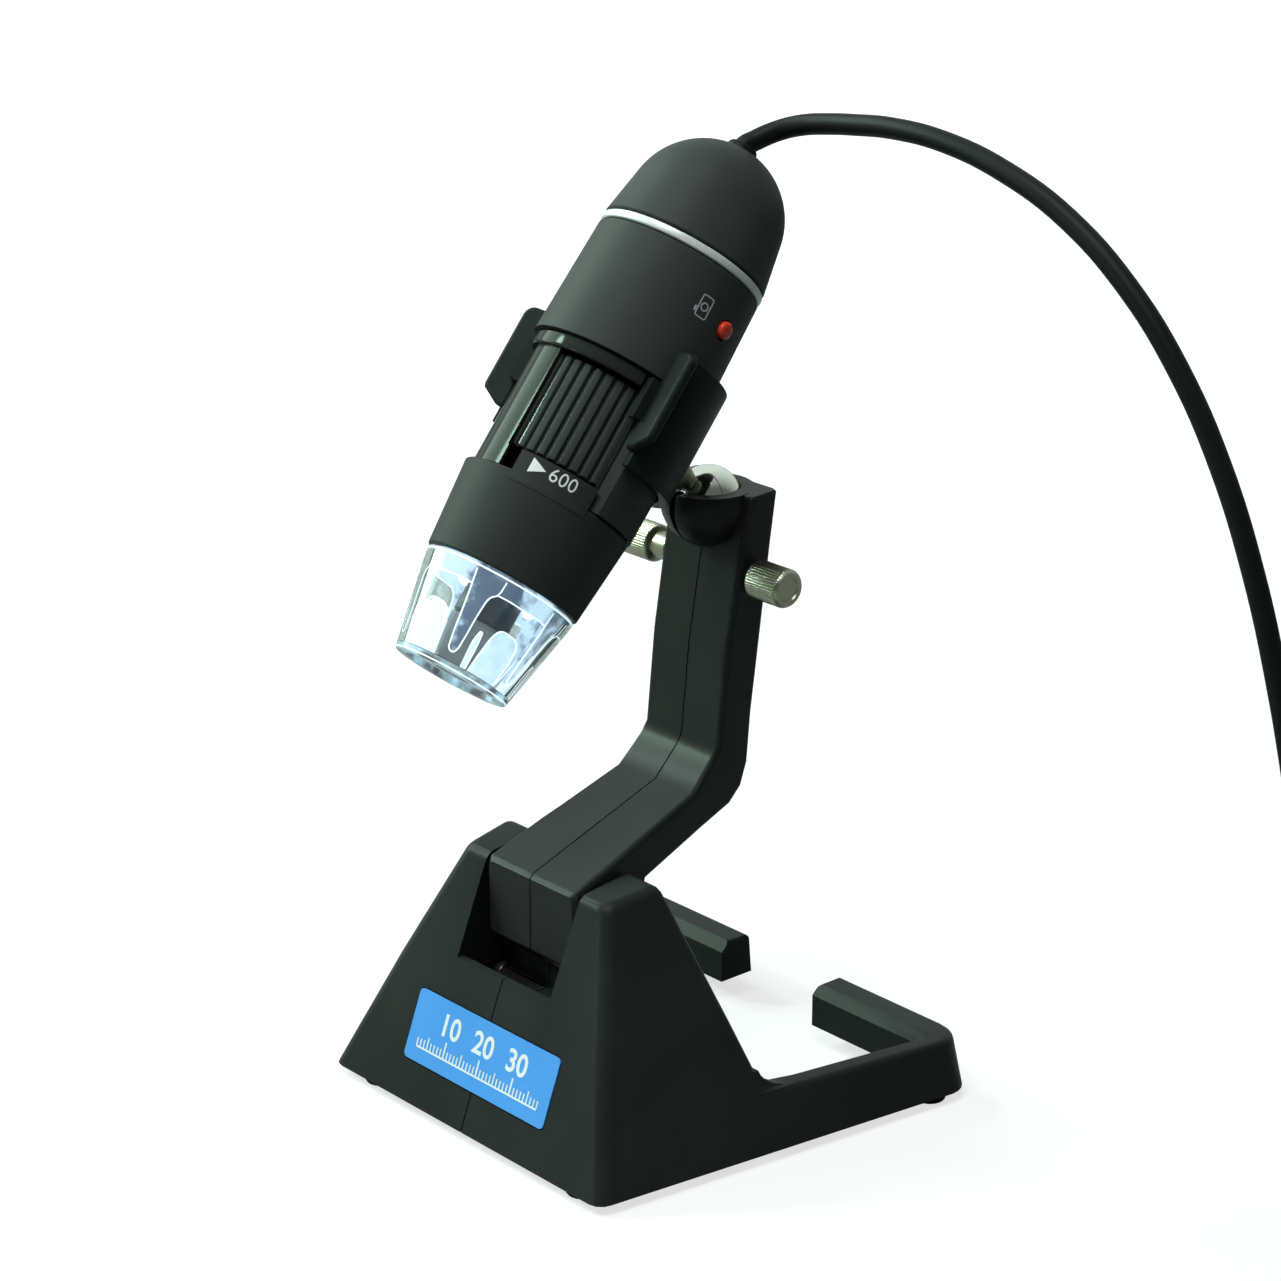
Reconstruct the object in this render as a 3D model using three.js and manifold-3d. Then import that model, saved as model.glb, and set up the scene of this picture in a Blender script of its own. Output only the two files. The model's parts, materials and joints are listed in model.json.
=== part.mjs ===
// A handheld digital microscope held in a clip on a folding two-piece stand.
// It is rebuilt as separate solids, one named mesh for each physical piece.
// Lengths are in millimetres and angles in degrees. A name that ends in share
// or shares holds fractions of the sizes that they follow.
import * as THREE from 'three';
import { mergeVertices } from 'three/addons/utils/BufferGeometryUtils.js';
import Module from 'manifold-3d';

const wasm = await Module();
wasm.setup();

// Fits between pieces
const clearance = 0.3;
const overrun = 1;
const skinStep = 0.02;
const weldGap = 0.0001;

// Stand base: a hollow tower with two rear beams that turn inwards
const footLift = 2;
const baseHalfWidth = 40.2;
const baseDepth = 88;
const baseHeight = 51.6;
const towerTopDrop = 1.7;
const baseWall = 2.5;
const frontLeanDeg = 20.54;
const rearLeanDeg = 5.1;
const sideSplayDeg = 7.19;
const sideLeanDeg = 23.79;
const beamLeanDeg = 9.1;
const leanStart = 32;
const towerDepth = 44.1;
const towerBackLeanDeg = 14.68;
const towerFrontRound = 3;
const towerBackRound = 1.6;
const towerTopRound = 1.6;
const beamHeight = 12.6;
const beamEdgeRound = 1;
const beamInnerHalf = 37.5;
const beamInnerSplayDeg = 10.3;
const beamFilletRise = 4;
const beamFilletRun = 5.5;
const rearCornerRound = 6;
const rearBarDepth = 8.5;
const rearBarLift = 2;
const rearBarChamfer = 2;
const rearGap = 26.8;
const pocketDepth = 25;
const notchHalfWidth = 13.7;
const notchFloor = baseHeight - 21.1;

// Label plate on the front face
const labelWidth = 41.9;
const labelHeight = 13.9;
const labelCentreRise = 14.1;
const labelCorner = 1;
const labelThickness = 0.45;
const labelRecess = 0.6;

// Rubber feet
const footRadius = 3.3;
const footHeight = 3;
const footEdge = 0.7;
const footPadWall = 1.6;
const footInsetFront = 4.6;
const footHalfFront = 30.5;
const footInsetRear = 8;
const footHalfRear = 45.9;

// Screws that hold the two base halves together
const screwShaftRadius = 1.3;
const screwHeadRadius = 2.5;
const screwHeadHeight = 1.8;
const screwBossRadius = 3.4;
const screwBossLength = 12;
const screwReach = 9;
const screwFrontRise = 6;
const screwUpperInset = 22;
const slotWidth = 0.7;
const slotDepth = 0.8;
const slotShare = 0.7;

// Hinge pin between the base and the arm
const pinDrop = 9.3;
const pinInset = 25.5;
const pinHeight = baseHeight - pinDrop;
const pinRadius = 2;
const pinLength = 36;

// Arm: two halves that meet on the centre plane
const armStart = pinInset - 7.75;
const armReach = 52.5;
const armLow = pinHeight - 8.3;
const armRise = 84;
const armFootHalf = 13;
const armRound = 1.2;
// Each row: front line inset, front line height, back line inset, back line
// height, half width. Insets are of the reach, heights of the rise.
const armShares = [
  [0, 0.182, 0, 0.01, 0.938],
  [0.018, 0.1935, 0.015, 0, 1],
  [0.157, 0.225, 0.195, 0, 0.977],
  [0.252, 0.2465, 0.29, 0.036, 0.962],
  [0.329, 0.264, 0.353, 0.163, 0.931],
  [0.6, 0.325, 0.652, 0.236, 0.862],
  [0.66, 0.364, 0.791, 0.269, 0.838],
  [0.702, 0.391, 0.847, 0.302, 0.827],
  [0.7286, 0.4167, 0.879, 0.357, 0.827],
  [0.746, 0.524, 0.896, 0.4786, 0.831],
  [0.765, 0.638, 0.931, 0.638, 0.835],
  [0.8314, 0.882, 0.981, 0.882, 0.85],
  [0.868, 0.9905, 1.005, 0.994, 0.863],
  [0.8735, 0.995, 0.999, 0.999, 0.84],
];
const armScrewLowInset = armStart + 0.5381 * armReach;
const armScrewLowHeight = armLow + 0.25952 * armRise;
const armScrewHighInset = armStart + 0.84667 * armReach;
const armScrewHighHeight = armLow + 0.64286 * armRise;
const armScrewHeadSink = 1.4;
const armScrewReach = 8;

// Ball joint at the arm's top
const ballInset = armStart + 0.85429 * armReach;
const ballHeight = armLow + 0.96667 * armRise;
const ballRadius = 6.5;
const cupRadius = 9.3;
const cupTop = 2.5;
const cupSlotWidth = 2.2;
const cupSlotDepth = 11;
const studRadius = 3;
const studThroatRadius = 2;
const studTaper = 3.7;
const studFlangeRadius = 4.4;
const studFlangeThickness = 1.2;
const studPinRadius = 1.2;

// Thumb screw and its nut
const knobInset = armStart + 0.88476 * armReach;
const knobHeight = armLow + 0.80714 * armRise;
const knobRadius = 3.8;
const knobLength = 8.7;
const knobToothDepth = 0.22;
const knobChamfer = 0.35;
const rightKnobStart = 12.3;
const knobShankRadius = 1.6;
const knobShankLength = 31;
const leftNutStart = 15.8;
const leftNutCollarRadius = 2.7;
const leftNutCollarStart = 11.6;

// Microscope tube: positions run down its axis from the dome's top
const tubeTiltDeg = 39.26;
const tubeTopInset = ballInset + 7.84;
const tubeTopHeight = ballHeight + 65.78;
const domeRadius = 15.14;
const domeLength = 22.5;
const domeBlend = 12.6;
const domeWall = 1.8;
const ringRadius = 16.6;
const ringWidth = 1.6;
const ringWall = 2.2;
const upperRadius = 17.37;
const upperEnd = 48.1;
const upperWall = 1.55;
const recessHalfDeg = 78;
const extensionRadius = 17.1;
const sleeveRadius = 15.5;
const sleeveWall = 0.7;
const sleeveOverlap = 4;
const collarRadius = 16.5;
const collarStart = upperEnd + 0.3;
const collarEnd = collarStart + 2.6;
const windowStart = collarEnd;
const windowEnd = windowStart + 20;
const bodySplit = windowEnd + 4;
const windowLowDeg = -2;
const windowHighDeg = 73;
const deepNotchLowDeg = 3;
const deepNotchHighDeg = 18;
const tongueRise = 4.1;
const tongueLowDeg = 18;
const tongueHighDeg = 77;
const lowerTopRadius = 16.8;
const lowerEndRadius = 15.35;
const lowerEnd = bodySplit + 17.4;
const lowerWall = 1.4;
const tipRadius = 15.1;
const tipEndRadius = 11.3;
const tubeLength = lowerEnd + 19.6;
const tipWall = 1.3;
const tipLip = 1.6;
const tipShelf = 2.4;

// Focus wheel, lens carrier and lenses
const wheelRadius = 14.5;
const wheelRib = 0.8;
const wheelWall = 2.8;
const wheelInset = 0.6;
const ribShares = [[1, 0], [1, 0.5], [0, 0.62], [0, 0.88]];
const carrierRadius = 11.3;
const carrierBore = 5;
const carrierStart = windowStart + 5;
const carrierEnd = windowEnd + 11;
const carrierWebRadius = 3.4;
const carrierWebStart = windowStart + 13;
const carrierWebThickness = 2;
const lensThickness = 2.2;
const lensCrown = 0.7;

// Electronics
const boardThickness = 1.2;
const sensorBoardRadius = 14.4;
const sensorBoardAt = upperEnd - 1.1;
const sensorSize = 6;
const sensorHeight = 1;
const mainBoardWidth = 23;
const mainBoardStart = 25;
const mainBoardEnd = 45;
const chipSize = 7;
const chipHeight = 1.1;
const chipAt = 38;
const switchSize = 3.2;
const ledBoardAt = lowerEnd - 2.2;
const ledBoardRadius = 13.65;
const ledBoardBore = 6.6;
const ledCircle = 9.5;
const ledRadius = 1.5;
const ledLength = 4.2;

// Snap button
const buttonAt = 33.7;
const buttonAngleDeg = 98;
const buttonRadius = 1.7;
const buttonProud = 0.95;
const buttonCrown = 0.5;
const buttonFlange = 0.8;
const buttonFlangeThickness = 0.7;
const buttonTravel = 0.6;

// Clip round the tube
const clipInner = 17.65;
const clipWall = 2;
const clipStart = upperEnd - 5.9;
const clipEnd = windowEnd - 5.7;
const clipHalfGapDeg = 80;
const earDeg = 74.5;
const earReach = 24.5;
const earFootDrop = 4.2;
const earThickness = 2;
const earCorner = 2;
const tabLowDeg = 66;
const tabNoseDeg = 6;
const tabRoomDeg = 2;
const bandInsetDeg = 1;
const tabStart = windowStart - 2;
const tabEnd = windowStart + 6;
const tabInner = 16.1;
const tabOuter = 19.2;
const clipBossRadius = 5.5;
const clipBossHeight = 1.6;
const ballAlong = (clipStart + clipEnd) / 2 + 2.15;
const ballAcross = 35.55;

// Cord, its grommet and its plug. The route's points are places on the floor
// frame of the stand, from the tube's inside to the start of the coil.
const cordRadius = 2;
const cordStartDepth = 5;
const cordRoute = [
  [0, 69.17, 179.43], [0, 70.95, 181.6], [0.55, 73.2, 182.55], [2.96, 76.9, 184.3],
  [7.1, 78.8, 185.7], [13.15, 79.8, 186.73], [20.05, 80.2, 187.56],
  [28.57, 80.4, 188.3], [42, 80.5, 187.9], [57, 80.6, 184.9], [72, 80.8, 179],
  [86, 81, 169.6], [98, 81.2, 157.4], [108, 81.5, 142.6], [116, 81.9, 125.6],
  [122.3, 82.4, 107], [127.3, 83, 87.6], [131.8, 83.7, 67.8], [136.6, 84.5, 48.2],
  [142.6, 85.4, 29.6], [151, 86.4, 14.2], [162, 87.2, 5], [174, 87.8, 2.35],
];
const coilCentreX = 195;
const coilCentreY = 57;
const coilOuter = 31;
const coilPitch = 4.6;
const coilLayer = 4.6;
const coilTurns = 8;
const coilTailRoute = [[227.5, 52, 6.6], [228.4, 46.5, 5.9], [229.4, 40.5, 4.6]];
const plugWidth = 15.6;
const plugThickness = 8.6;
const plugGap = 0.7;
const plugLength = 28;
const plugNeck = 8;
const plugNeckShare = 0.62;
const plugStartShare = 0.56;
const plugEdgeShare = 0.96;
const plugRound = 1.6;
const shellWidth = 12;
const shellThickness = 4.5;
const shellLength = 18.6;
const shellWall = 0.4;
const shellTongue = 1.9;
const grommetRadius = 3.1;
const grommetHole = 3.5;
const grommetFlange = 4.6;
const grommetTaper = 2.8;
const grommetLength = 0.9;
const grommetFlangeThickness = 1;

// Counts of facets and repeats
const roundSegments = 48;
const smallSegments = 14;
const ballSegments = 24;
const arcSteps = 3;
const wheelRibs = 48;
const domeSteps = 7;
const knobTeeth = 26;
const ledCount = 8;
const runSides = 8;
const runSteps = 60;
const coilSides = 6;
const coilSteps = 24;
const coilSkip = 20;

const rad = THREE.MathUtils.degToRad;
const slope = (degrees) => Math.tan(rad(degrees));
const vec = (x, y, z) => new THREE.Vector3(x, y, z);

function signedVolume(geometry) {
  const p = geometry.attributes.position;
  const index = geometry.index;
  let sum = 0;
  for (let i = 0; i < index.count; i += 3) {
    const [a, b, c] = [0, 1, 2].map((k) => vec().fromBufferAttribute(p, index.getX(i + k)));
    sum += a.dot(b.cross(c));
  }
  return sum / 6;
}

// A closed geometry as a solid, turned right side out
function solid(geometry) {
  const g = geometry.clone();
  g.deleteAttribute('normal');
  g.deleteAttribute('uv');
  const merged = mergeVertices(g, weldGap);
  const triangles = Uint32Array.from(merged.index.array);
  if (signedVolume(merged) < 0) {
    for (let i = 0; i < triangles.length; i += 3) {
      const keep = triangles[i];
      triangles[i] = triangles[i + 1];
      triangles[i + 1] = keep;
    }
  }
  return new wasm.Manifold(new wasm.Mesh({
    numProp: 3,
    vertProperties: Float32Array.from(merged.attributes.position.array),
    triVerts: triangles,
  }));
}

function geometryOf(body) {
  const mesh = body.getMesh();
  const places = new Float32Array(mesh.numVert * 3);
  for (let i = 0; i < mesh.numVert; i += 1) {
    for (let k = 0; k < 3; k += 1) {
      places[i * 3 + k] = mesh.vertProperties[i * mesh.numProp + k];
    }
  }
  const g = new THREE.BufferGeometry();
  g.setAttribute('position', new THREE.BufferAttribute(places, 3));
  g.setIndex(new THREE.BufferAttribute(Uint32Array.from(mesh.triVerts), 1));
  g.computeVertexNormals();
  return g;
}

// A skin over rings of equal counts, closed by a flat cap at each end
function loft(rings) {
  const n = rings[0].length;
  const places = rings.flat().flatMap((p) => p.toArray());
  const index = [];
  for (let i = 0; i + 1 < rings.length; i += 1) {
    for (let k = 0; k < n; k += 1) {
      const a = i * n + k;
      const b = i * n + (k + 1) % n;
      index.push(a, b, b + n, a, b + n, a + n);
    }
  }
  const cap = (ring, start, forward) => {
    const normal = vec(0, 0, 0);
    ring.forEach((p, k) => {
      const edge = ring[(k + 1) % n].clone().sub(ring[0]);
      normal.add(p.clone().sub(ring[0]).cross(edge));
    });
    const size = normal.toArray().map(Math.abs);
    const drop = size.indexOf(Math.max(...size));
    const flat = ring.map((p) => {
      const [u, v] = p.toArray().filter((value, axis) => axis !== drop);
      return new THREE.Vector2(u, v);
    });
    const ringSign = Math.sign(THREE.ShapeUtils.area(flat));
    THREE.ShapeUtils.triangulateShape(flat.slice(), []).forEach(([a, b, c]) => {
      const same = Math.sign(THREE.ShapeUtils.area([flat[a], flat[b], flat[c]])) === ringSign;
      if (same === forward) {
        index.push(start + a, start + b, start + c);
      } else {
        index.push(start + a, start + c, start + b);
      }
    });
  };
  cap(rings[0], 0, false);
  cap(rings[rings.length - 1], (rings.length - 1) * n, true);
  const g = new THREE.BufferGeometry();
  g.setAttribute('position', new THREE.Float32BufferAttribute(places, 3));
  g.setIndex(index);
  return g;
}

// Points on an arc in the plane of u and v, from one angle to another
function arc(centre, radius, from, to, steps, u = vec(1, 0, 0), v = vec(0, 1, 0)) {
  const points = [];
  for (let i = 0; i <= steps; i += 1) {
    const a = rad(from + (to - from) * i / steps);
    const p = centre.clone().addScaledVector(u, radius * Math.cos(a));
    points.push(p.addScaledVector(v, radius * Math.sin(a)));
  }
  return points;
}

// A turned piece about the z axis: profile rows are radius, distance down
function turned(profile, segments = roundSegments) {
  const points = profile.map(([r, s]) => new THREE.Vector2(r, -s));
  const g = new THREE.LatheGeometry(points, segments);
  return g.rotateX(Math.PI / 2);
}

function tube(outer, inner, from, to, segments = roundSegments) {
  return turned([[inner, from], [outer, from], [outer, to], [inner, to], [inner, from]], segments);
}

function boxBetween(low, high) {
  const size = high.clone().sub(low);
  const g = new THREE.BoxGeometry(size.x, size.y, size.z);
  return g.translate((low.x + high.x) / 2, (low.y + high.y) / 2, (low.z + high.z) / 2);
}

// A round bar along X between two places
function barX(radius, from, to, y, z, segments = smallSegments) {
  const g = new THREE.CylinderGeometry(radius, radius, to - from, segments);
  return g.rotateZ(Math.PI / 2).translate((from + to) / 2, y, z);
}

function barZ(radius, from, to, x, y, segments = smallSegments) {
  const g = new THREE.CylinderGeometry(radius, radius, to - from, segments);
  return g.rotateX(Math.PI / 2).translate(x, y, (from + to) / 2);
}

function barY(radius, from, to, x, z, segments = smallSegments) {
  const g = new THREE.CylinderGeometry(radius, radius, to - from, segments);
  return g.translate(x, (from + to) / 2, z);
}

// A flat outline pushed along z between two heights
function slab(points, from, to) {
  const shape = new THREE.Shape(points.map(([x, y]) => new THREE.Vector2(x, y)));
  const g = new THREE.ExtrudeGeometry(shape, { depth: to - from, bevelEnabled: false });
  return g.translate(0, 0, from);
}

function roundedRect(width, height, corner) {
  const w = width / 2 - corner;
  const h = height / 2 - corner;
  const corners = [[w, -h, -90], [w, h, 0], [-w, h, 90], [-w, -h, 180]];
  return corners.flatMap(([x, y, start]) => arc(vec(x, y, 0), corner, start, start + 90, arcSteps)
    .map((p) => [p.x, p.y]));
}

// A wedge of a ring about the z axis. Angles turn from -y towards +x.
function sector(inner, outer, lowDeg, highDeg, from, to) {
  const steps = Math.max(1, Math.round((highDeg - lowDeg) / 360 * roundSegments));
  const at = (r, deg) => [r * Math.sin(rad(deg)), -r * Math.cos(rad(deg))];
  const points = [];
  for (let i = 0; i <= steps; i += 1) {
    points.push(at(outer, lowDeg + (highDeg - lowDeg) * i / steps));
  }
  for (let i = steps; i >= 0; i -= 1) {
    points.push(at(inner, lowDeg + (highDeg - lowDeg) * i / steps));
  }
  return slab(points, -to, -from);
}

const root = new THREE.Group();
const materials = {};

function material(key, color, roughness, metalness = 0) {
  materials[key] = new THREE.MeshStandardMaterial({ color, roughness, metalness });
}
material('standBlack', 0x1b1d1d, 0.5);
material('rubberBlack', 0x1f2221, 0.75);
material('gloss', 0x1a2422, 0.25);
material('steel', 0xc4c6bf, 0.2, 1);
material('nickel', 0xa6a393, 0.35, 1);
material('silver', 0xd4d6d6, 0.3, 0.8);
material('blue', 0x58aaf0, 0.5);
material('foot', 0x141414, 0.9);
material('clear', 0xdff3fa, 0.08);
material('white', 0xffffff, 0.3);
material('red', 0xc3271d, 0.4);
material('board', 0x1f5a34, 0.6);
material('chip', 0x161616, 0.5);
material('brass', 0xb79a55, 0.35, 1);
material('cord', 0x161817, 0.6);
materials.clear.transparent = true;
materials.clear.opacity = 0.45;

function piece(group, name, body, key) {
  const geometry = body.isBufferGeometry ? geometryOf(solid(body)) : geometryOf(body);
  const mesh = new THREE.Mesh(geometry, materials[key]);
  mesh.name = name;
  group.add(mesh);
  return mesh;
}

// Stand base
const seam = clearance / 2;
const frontY = (z) => (z - footLift) * slope(frontLeanDeg);
const backY = (z) => towerDepth - (z - footLift) * slope(towerBackLeanDeg);
const rearY = (z) => baseDepth - (z - footLift) * slope(rearLeanDeg);

function sideX(y, z) {
  const along = Math.max(0, (y - leanStart) / (baseDepth - leanStart));
  const lean = slope(sideLeanDeg) + (slope(beamLeanDeg) - slope(sideLeanDeg)) * along;
  return baseHalfWidth + y * slope(sideSplayDeg) - (z - footLift) * lean;
}
const beamInnerX = (y) => beamInnerHalf + (y - towerDepth) * slope(beamInnerSplayDeg);

// The tower's outline at one height, drawn in by an inset, on one side
function towerRing(side, z, inset, start = seam) {
  const low = frontY(z) + inset;
  const high = backY(z) - inset;
  const front = Math.max(towerFrontRound - inset, skinStep);
  const back = Math.max(towerBackRound - inset / 2, skinStep);
  const frontX = sideX(low + front, z) - inset - front;
  const backX = sideX(high - back, z) - inset - back;
  const ring = [vec(start, low, z)];
  ring.push(...arc(vec(frontX, low + front, z), front, -90, 0, arcSteps));
  ring.push(...arc(vec(backX, high - back, z), back, 0, 90, arcSteps));
  ring.push(vec(start, high, z));
  return ring.map((p) => vec(side * p.x, p.y, p.z));
}

function towerBody(side) {
  const shoulder = baseHeight - towerTopRound;
  const waist = footLift + (shoulder - footLift) / 2;
  const rings = [footLift + skinStep, beamHeight, waist, shoulder]
    .map((z) => towerRing(side, z, skinStep));
  for (let i = 1; i <= arcSteps; i += 1) {
    const a = rad(90 * i / arcSteps);
    const z = shoulder + towerTopRound * Math.sin(a);
    rings.push(towerRing(side, z, skinStep + towerTopRound * (1 - Math.cos(a))));
  }
  rings.slice(-arcSteps - 1).forEach((ring) => ring.forEach((p) => {
    const along = (p.y - frontY(shoulder)) / (backY(shoulder) - frontY(shoulder));
    p.z -= towerTopDrop * (1 - along);
  }));
  return solid(loft(rings));
}

// The whole footprint up to the beams' top: tower, side beam and rear bar
function footprintRing(side, z, inset) {
  const low = frontY(z);
  const rear = rearY(z) - inset;
  const bar = rearY(footLift) - rearBarDepth + inset;
  const tip = rearGap / 2 + inset;
  const frontX = sideX(low + towerFrontRound, z) - towerFrontRound;
  const corner = rearCornerRound;
  const rearX = sideX(rear - corner, z) - inset - corner;
  const joinY = towerDepth + beamFilletRun;
  const ring = [vec(seam, low, z)];
  ring.push(...arc(vec(frontX, low + towerFrontRound, z), towerFrontRound, -90, 0, arcSteps));
  ring.push(vec(sideX(leanStart, z), leanStart, z));
  ring.push(vec(sideX(towerDepth, z), towerDepth, z));
  ring.push(vec(sideX(joinY, z) - inset, joinY, z));
  ring.push(...arc(vec(rearX, rear - corner, z), corner, 0, 90, 2 * arcSteps));
  ring.push(vec(tip, rear, z));
  ring.push(vec(tip, bar, z));
  ring.push(vec(beamInnerX(bar) + inset, bar, z));
  ring.push(vec(beamInnerX(joinY) + inset, joinY, z));
  ring.push(vec(beamInnerX(towerDepth), towerDepth, z));
  ring.push(vec(beamInnerX(towerDepth), backY(z), z));
  ring.push(vec(seam, backY(z), z));
  return ring.map((p) => vec(side * p.x, p.y, p.z));
}

function footprintBody(side) {
  const shoulder = beamHeight - beamEdgeRound;
  const rings = [footprintRing(side, footLift, 0), footprintRing(side, shoulder, 0)];
  for (let i = 1; i <= arcSteps; i += 1) {
    const a = rad(90 * i / arcSteps);
    const z = shoulder + beamEdgeRound * Math.sin(a);
    rings.push(footprintRing(side, z, beamEdgeRound * (1 - Math.cos(a))));
  }
  return solid(loft(rings));
}

// The hollow curve where the tower's back runs into a beam's top
function filletBody(side) {
  const rings = [];
  const base = beamHeight - skinStep;
  for (let i = 0; i <= 2 * arcSteps; i += 1) {
    const a = rad(90 * i / (2 * arcSteps));
    const z = base + beamFilletRise * (1 - Math.cos(a));
    const y = backY(z) + beamFilletRun * (1 - Math.sin(a)) + skinStep;
    const wall = backY(z) - baseWall;
    const edge = beamInnerX(towerDepth) + skinStep;
    const inset = beamEdgeRound * Math.cos(a);
    const out = (at) => sideX(at, z) - 2 * skinStep;
    rings.push([vec(edge, wall, z), vec(out(wall), wall, z), vec(out(y) - inset, y, z),
      vec(edge + inset, y, z)].map((p) => vec(side * p.x, p.y, p.z)));
  }
  return solid(loft(rings));
}

const pocketTop = footLift + pocketDepth;
const screwPlaces = [
  ['base_screw_front', frontY(footLift + screwFrontRise) + baseWall + screwBossRadius,
    footLift + screwFrontRise],
  ['base_screw_rear', backY(footLift + screwFrontRise) - baseWall - screwBossRadius + skinStep,
    footLift + screwFrontRise],
  ['base_screw_upper', screwUpperInset, pocketTop - screwBossRadius + clearance],
];
const footPlaces = [
  ['foot_front', footHalfFront, footInsetFront],
  ['foot_rear', footHalfRear, baseDepth - footInsetRear],
];
const footSink = footHeight - footLift + clearance;
const padRadius = footRadius + clearance + footPadWall;

function pocketBody(side) {
  const rings = [footLift - overrun, beamHeight, pocketTop]
    .map((z) => towerRing(side, z, baseWall, -overrun));
  let body = solid(loft(rings));
  const bossFrom = seam;
  const bossTo = side * screwBossLength;
  screwPlaces.forEach(([, y, z]) => {
    const low = Math.min(side * bossFrom, bossTo);
    const high = Math.max(side * bossFrom, bossTo);
    body = body.subtract(solid(barX(screwBossRadius, low, high, y, z)));
  });
  const [, footX, footY] = footPlaces[0];
  const padTop = footLift + footSink + footPadWall;
  return body.subtract(solid(barZ(padRadius, 0, padTop, side * footX, footY)));
}

const labelGroup = new THREE.Group();
const labelZ = footLift + labelCentreRise;
labelGroup.position.set(0, frontY(labelZ), labelZ);
labelGroup.rotation.x = rad(90 - frontLeanDeg);
labelGroup.updateMatrix();

function baseHalf(side) {
  let body = towerBody(side).add(footprintBody(side)).add(filletBody(side));
  body = body.subtract(pocketBody(side));
  const reachX = notchHalfWidth;
  const low = side > 0 ? -overrun : -reachX;
  const high = side > 0 ? reachX : overrun;
  const notch = boxBetween(
    vec(low, -overrun, notchFloor),
    vec(high, towerDepth + overrun, baseHeight + overrun),
  );
  body = body.subtract(solid(notch));
  const barFront = baseDepth - rearBarDepth;
  const cutTo = side * Math.min(footHalfRear - padRadius, beamInnerX(barFront) - baseWall);
  const underBar = boxBetween(
    vec(Math.min(0, cutTo), barFront - rearBarDepth, 0),
    vec(Math.max(0, cutTo), baseDepth + overrun, footLift + rearBarLift),
  );
  body = body.subtract(solid(underBar));
  const chamferTop = beamHeight + overrun;
  const chamferBack = barFront + rearBarChamfer + overrun;
  const chamferShape = [[barFront - overrun, beamHeight - rearBarChamfer - overrun],
    [barFront - overrun, chamferTop], [chamferBack, chamferTop]];
  const chamferWidth = beamInnerX(barFront);
  const chamfer = slab(chamferShape, 0, chamferWidth).rotateX(Math.PI / 2).rotateZ(Math.PI / 2);
  chamfer.scale(side, 1, 1);
  body = body.subtract(solid(chamfer));
  const pinEnd = pinLength / 2 + clearance;
  body = body.subtract(solid(barX(pinRadius + clearance, -pinEnd, pinEnd, pinInset, pinHeight)));
  const corner = labelCorner + clearance;
  const recess = slab(
    roundedRect(labelWidth + 2 * clearance, labelHeight + 2 * clearance, corner),
    -labelRecess,
    overrun,
  );
  body = body.subtract(solid(recess.applyMatrix4(labelGroup.matrix)));
  footPlaces.forEach(([, x, y]) => {
    const hole = barZ(footRadius + clearance, 0, footLift + footSink, side * x, y);
    body = body.subtract(solid(hole));
  });
  const bore = screwShaftRadius + clearance;
  screwPlaces.forEach(([, y, z]) => {
    const hole = barX(bore, -screwBossLength - overrun, screwReach + clearance, y, z);
    body = body.subtract(solid(hole));
  });
  return body;
}

// A cross-slot screw along X with its head on the low side
function screwBody(headAt, reach, y, z) {
  const head = solid(barX(screwHeadRadius, headAt - screwHeadHeight, headAt, y, z));
  const shaft = solid(barX(screwShaftRadius, headAt - skinStep, reach, y, z));
  const deep = headAt - screwHeadHeight + slotDepth;
  const half = slotWidth / 2;
  const far = headAt - screwHeadHeight - overrun;
  const slotA = boxBetween(
    vec(far, y - half, z - screwHeadRadius * slotShare),
    vec(deep, y + half, z + screwHeadRadius * slotShare),
  );
  const slotB = boxBetween(
    vec(far, y - screwHeadRadius * slotShare, z - half),
    vec(deep, y + screwHeadRadius * slotShare, z + half),
  );
  return head.add(shaft).subtract(solid(slotA).add(solid(slotB)));
}

const baseGroup = new THREE.Group();
root.add(baseGroup);
piece(baseGroup, 'base_right_half', baseHalf(1), 'standBlack');
piece(baseGroup, 'base_left_half', baseHalf(-1), 'standBlack');
baseGroup.add(labelGroup);
const labelBack = -labelRecess + clearance;
piece(labelGroup, 'label_plate', slab(
  roundedRect(labelWidth, labelHeight, labelCorner),
  labelBack,
  labelBack + labelThickness,
), 'blue');
screwPlaces.forEach(([name, y, z]) => {
  const head = -screwBossLength - clearance;
  piece(baseGroup, name, screwBody(head, screwReach, y, z), 'steel');
});
footPlaces.forEach(([name, x, y]) => {
  [['right', 1], ['left', -1]].forEach(([word, side]) => {
    const profile = [[0, 0], [footRadius - footEdge, 0], [footRadius, -footEdge],
      [footRadius, -footHeight], [0, -footHeight]];
    const foot = turned(profile, smallSegments).translate(side * x, y, 0);
    piece(baseGroup, `${name}_${word}`, foot, 'foot');
  });
});
piece(baseGroup, 'hinge_pin', barX(pinRadius, -pinLength / 2, pinLength / 2, pinInset, pinHeight),
  'steel');

// Arm, modelled about its hinge pin
const armGroup = new THREE.Group();
armGroup.position.set(0, pinInset, pinHeight);
root.add(armGroup);
const armSpace = (g) => g.translate(0, -pinInset, -pinHeight);

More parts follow.
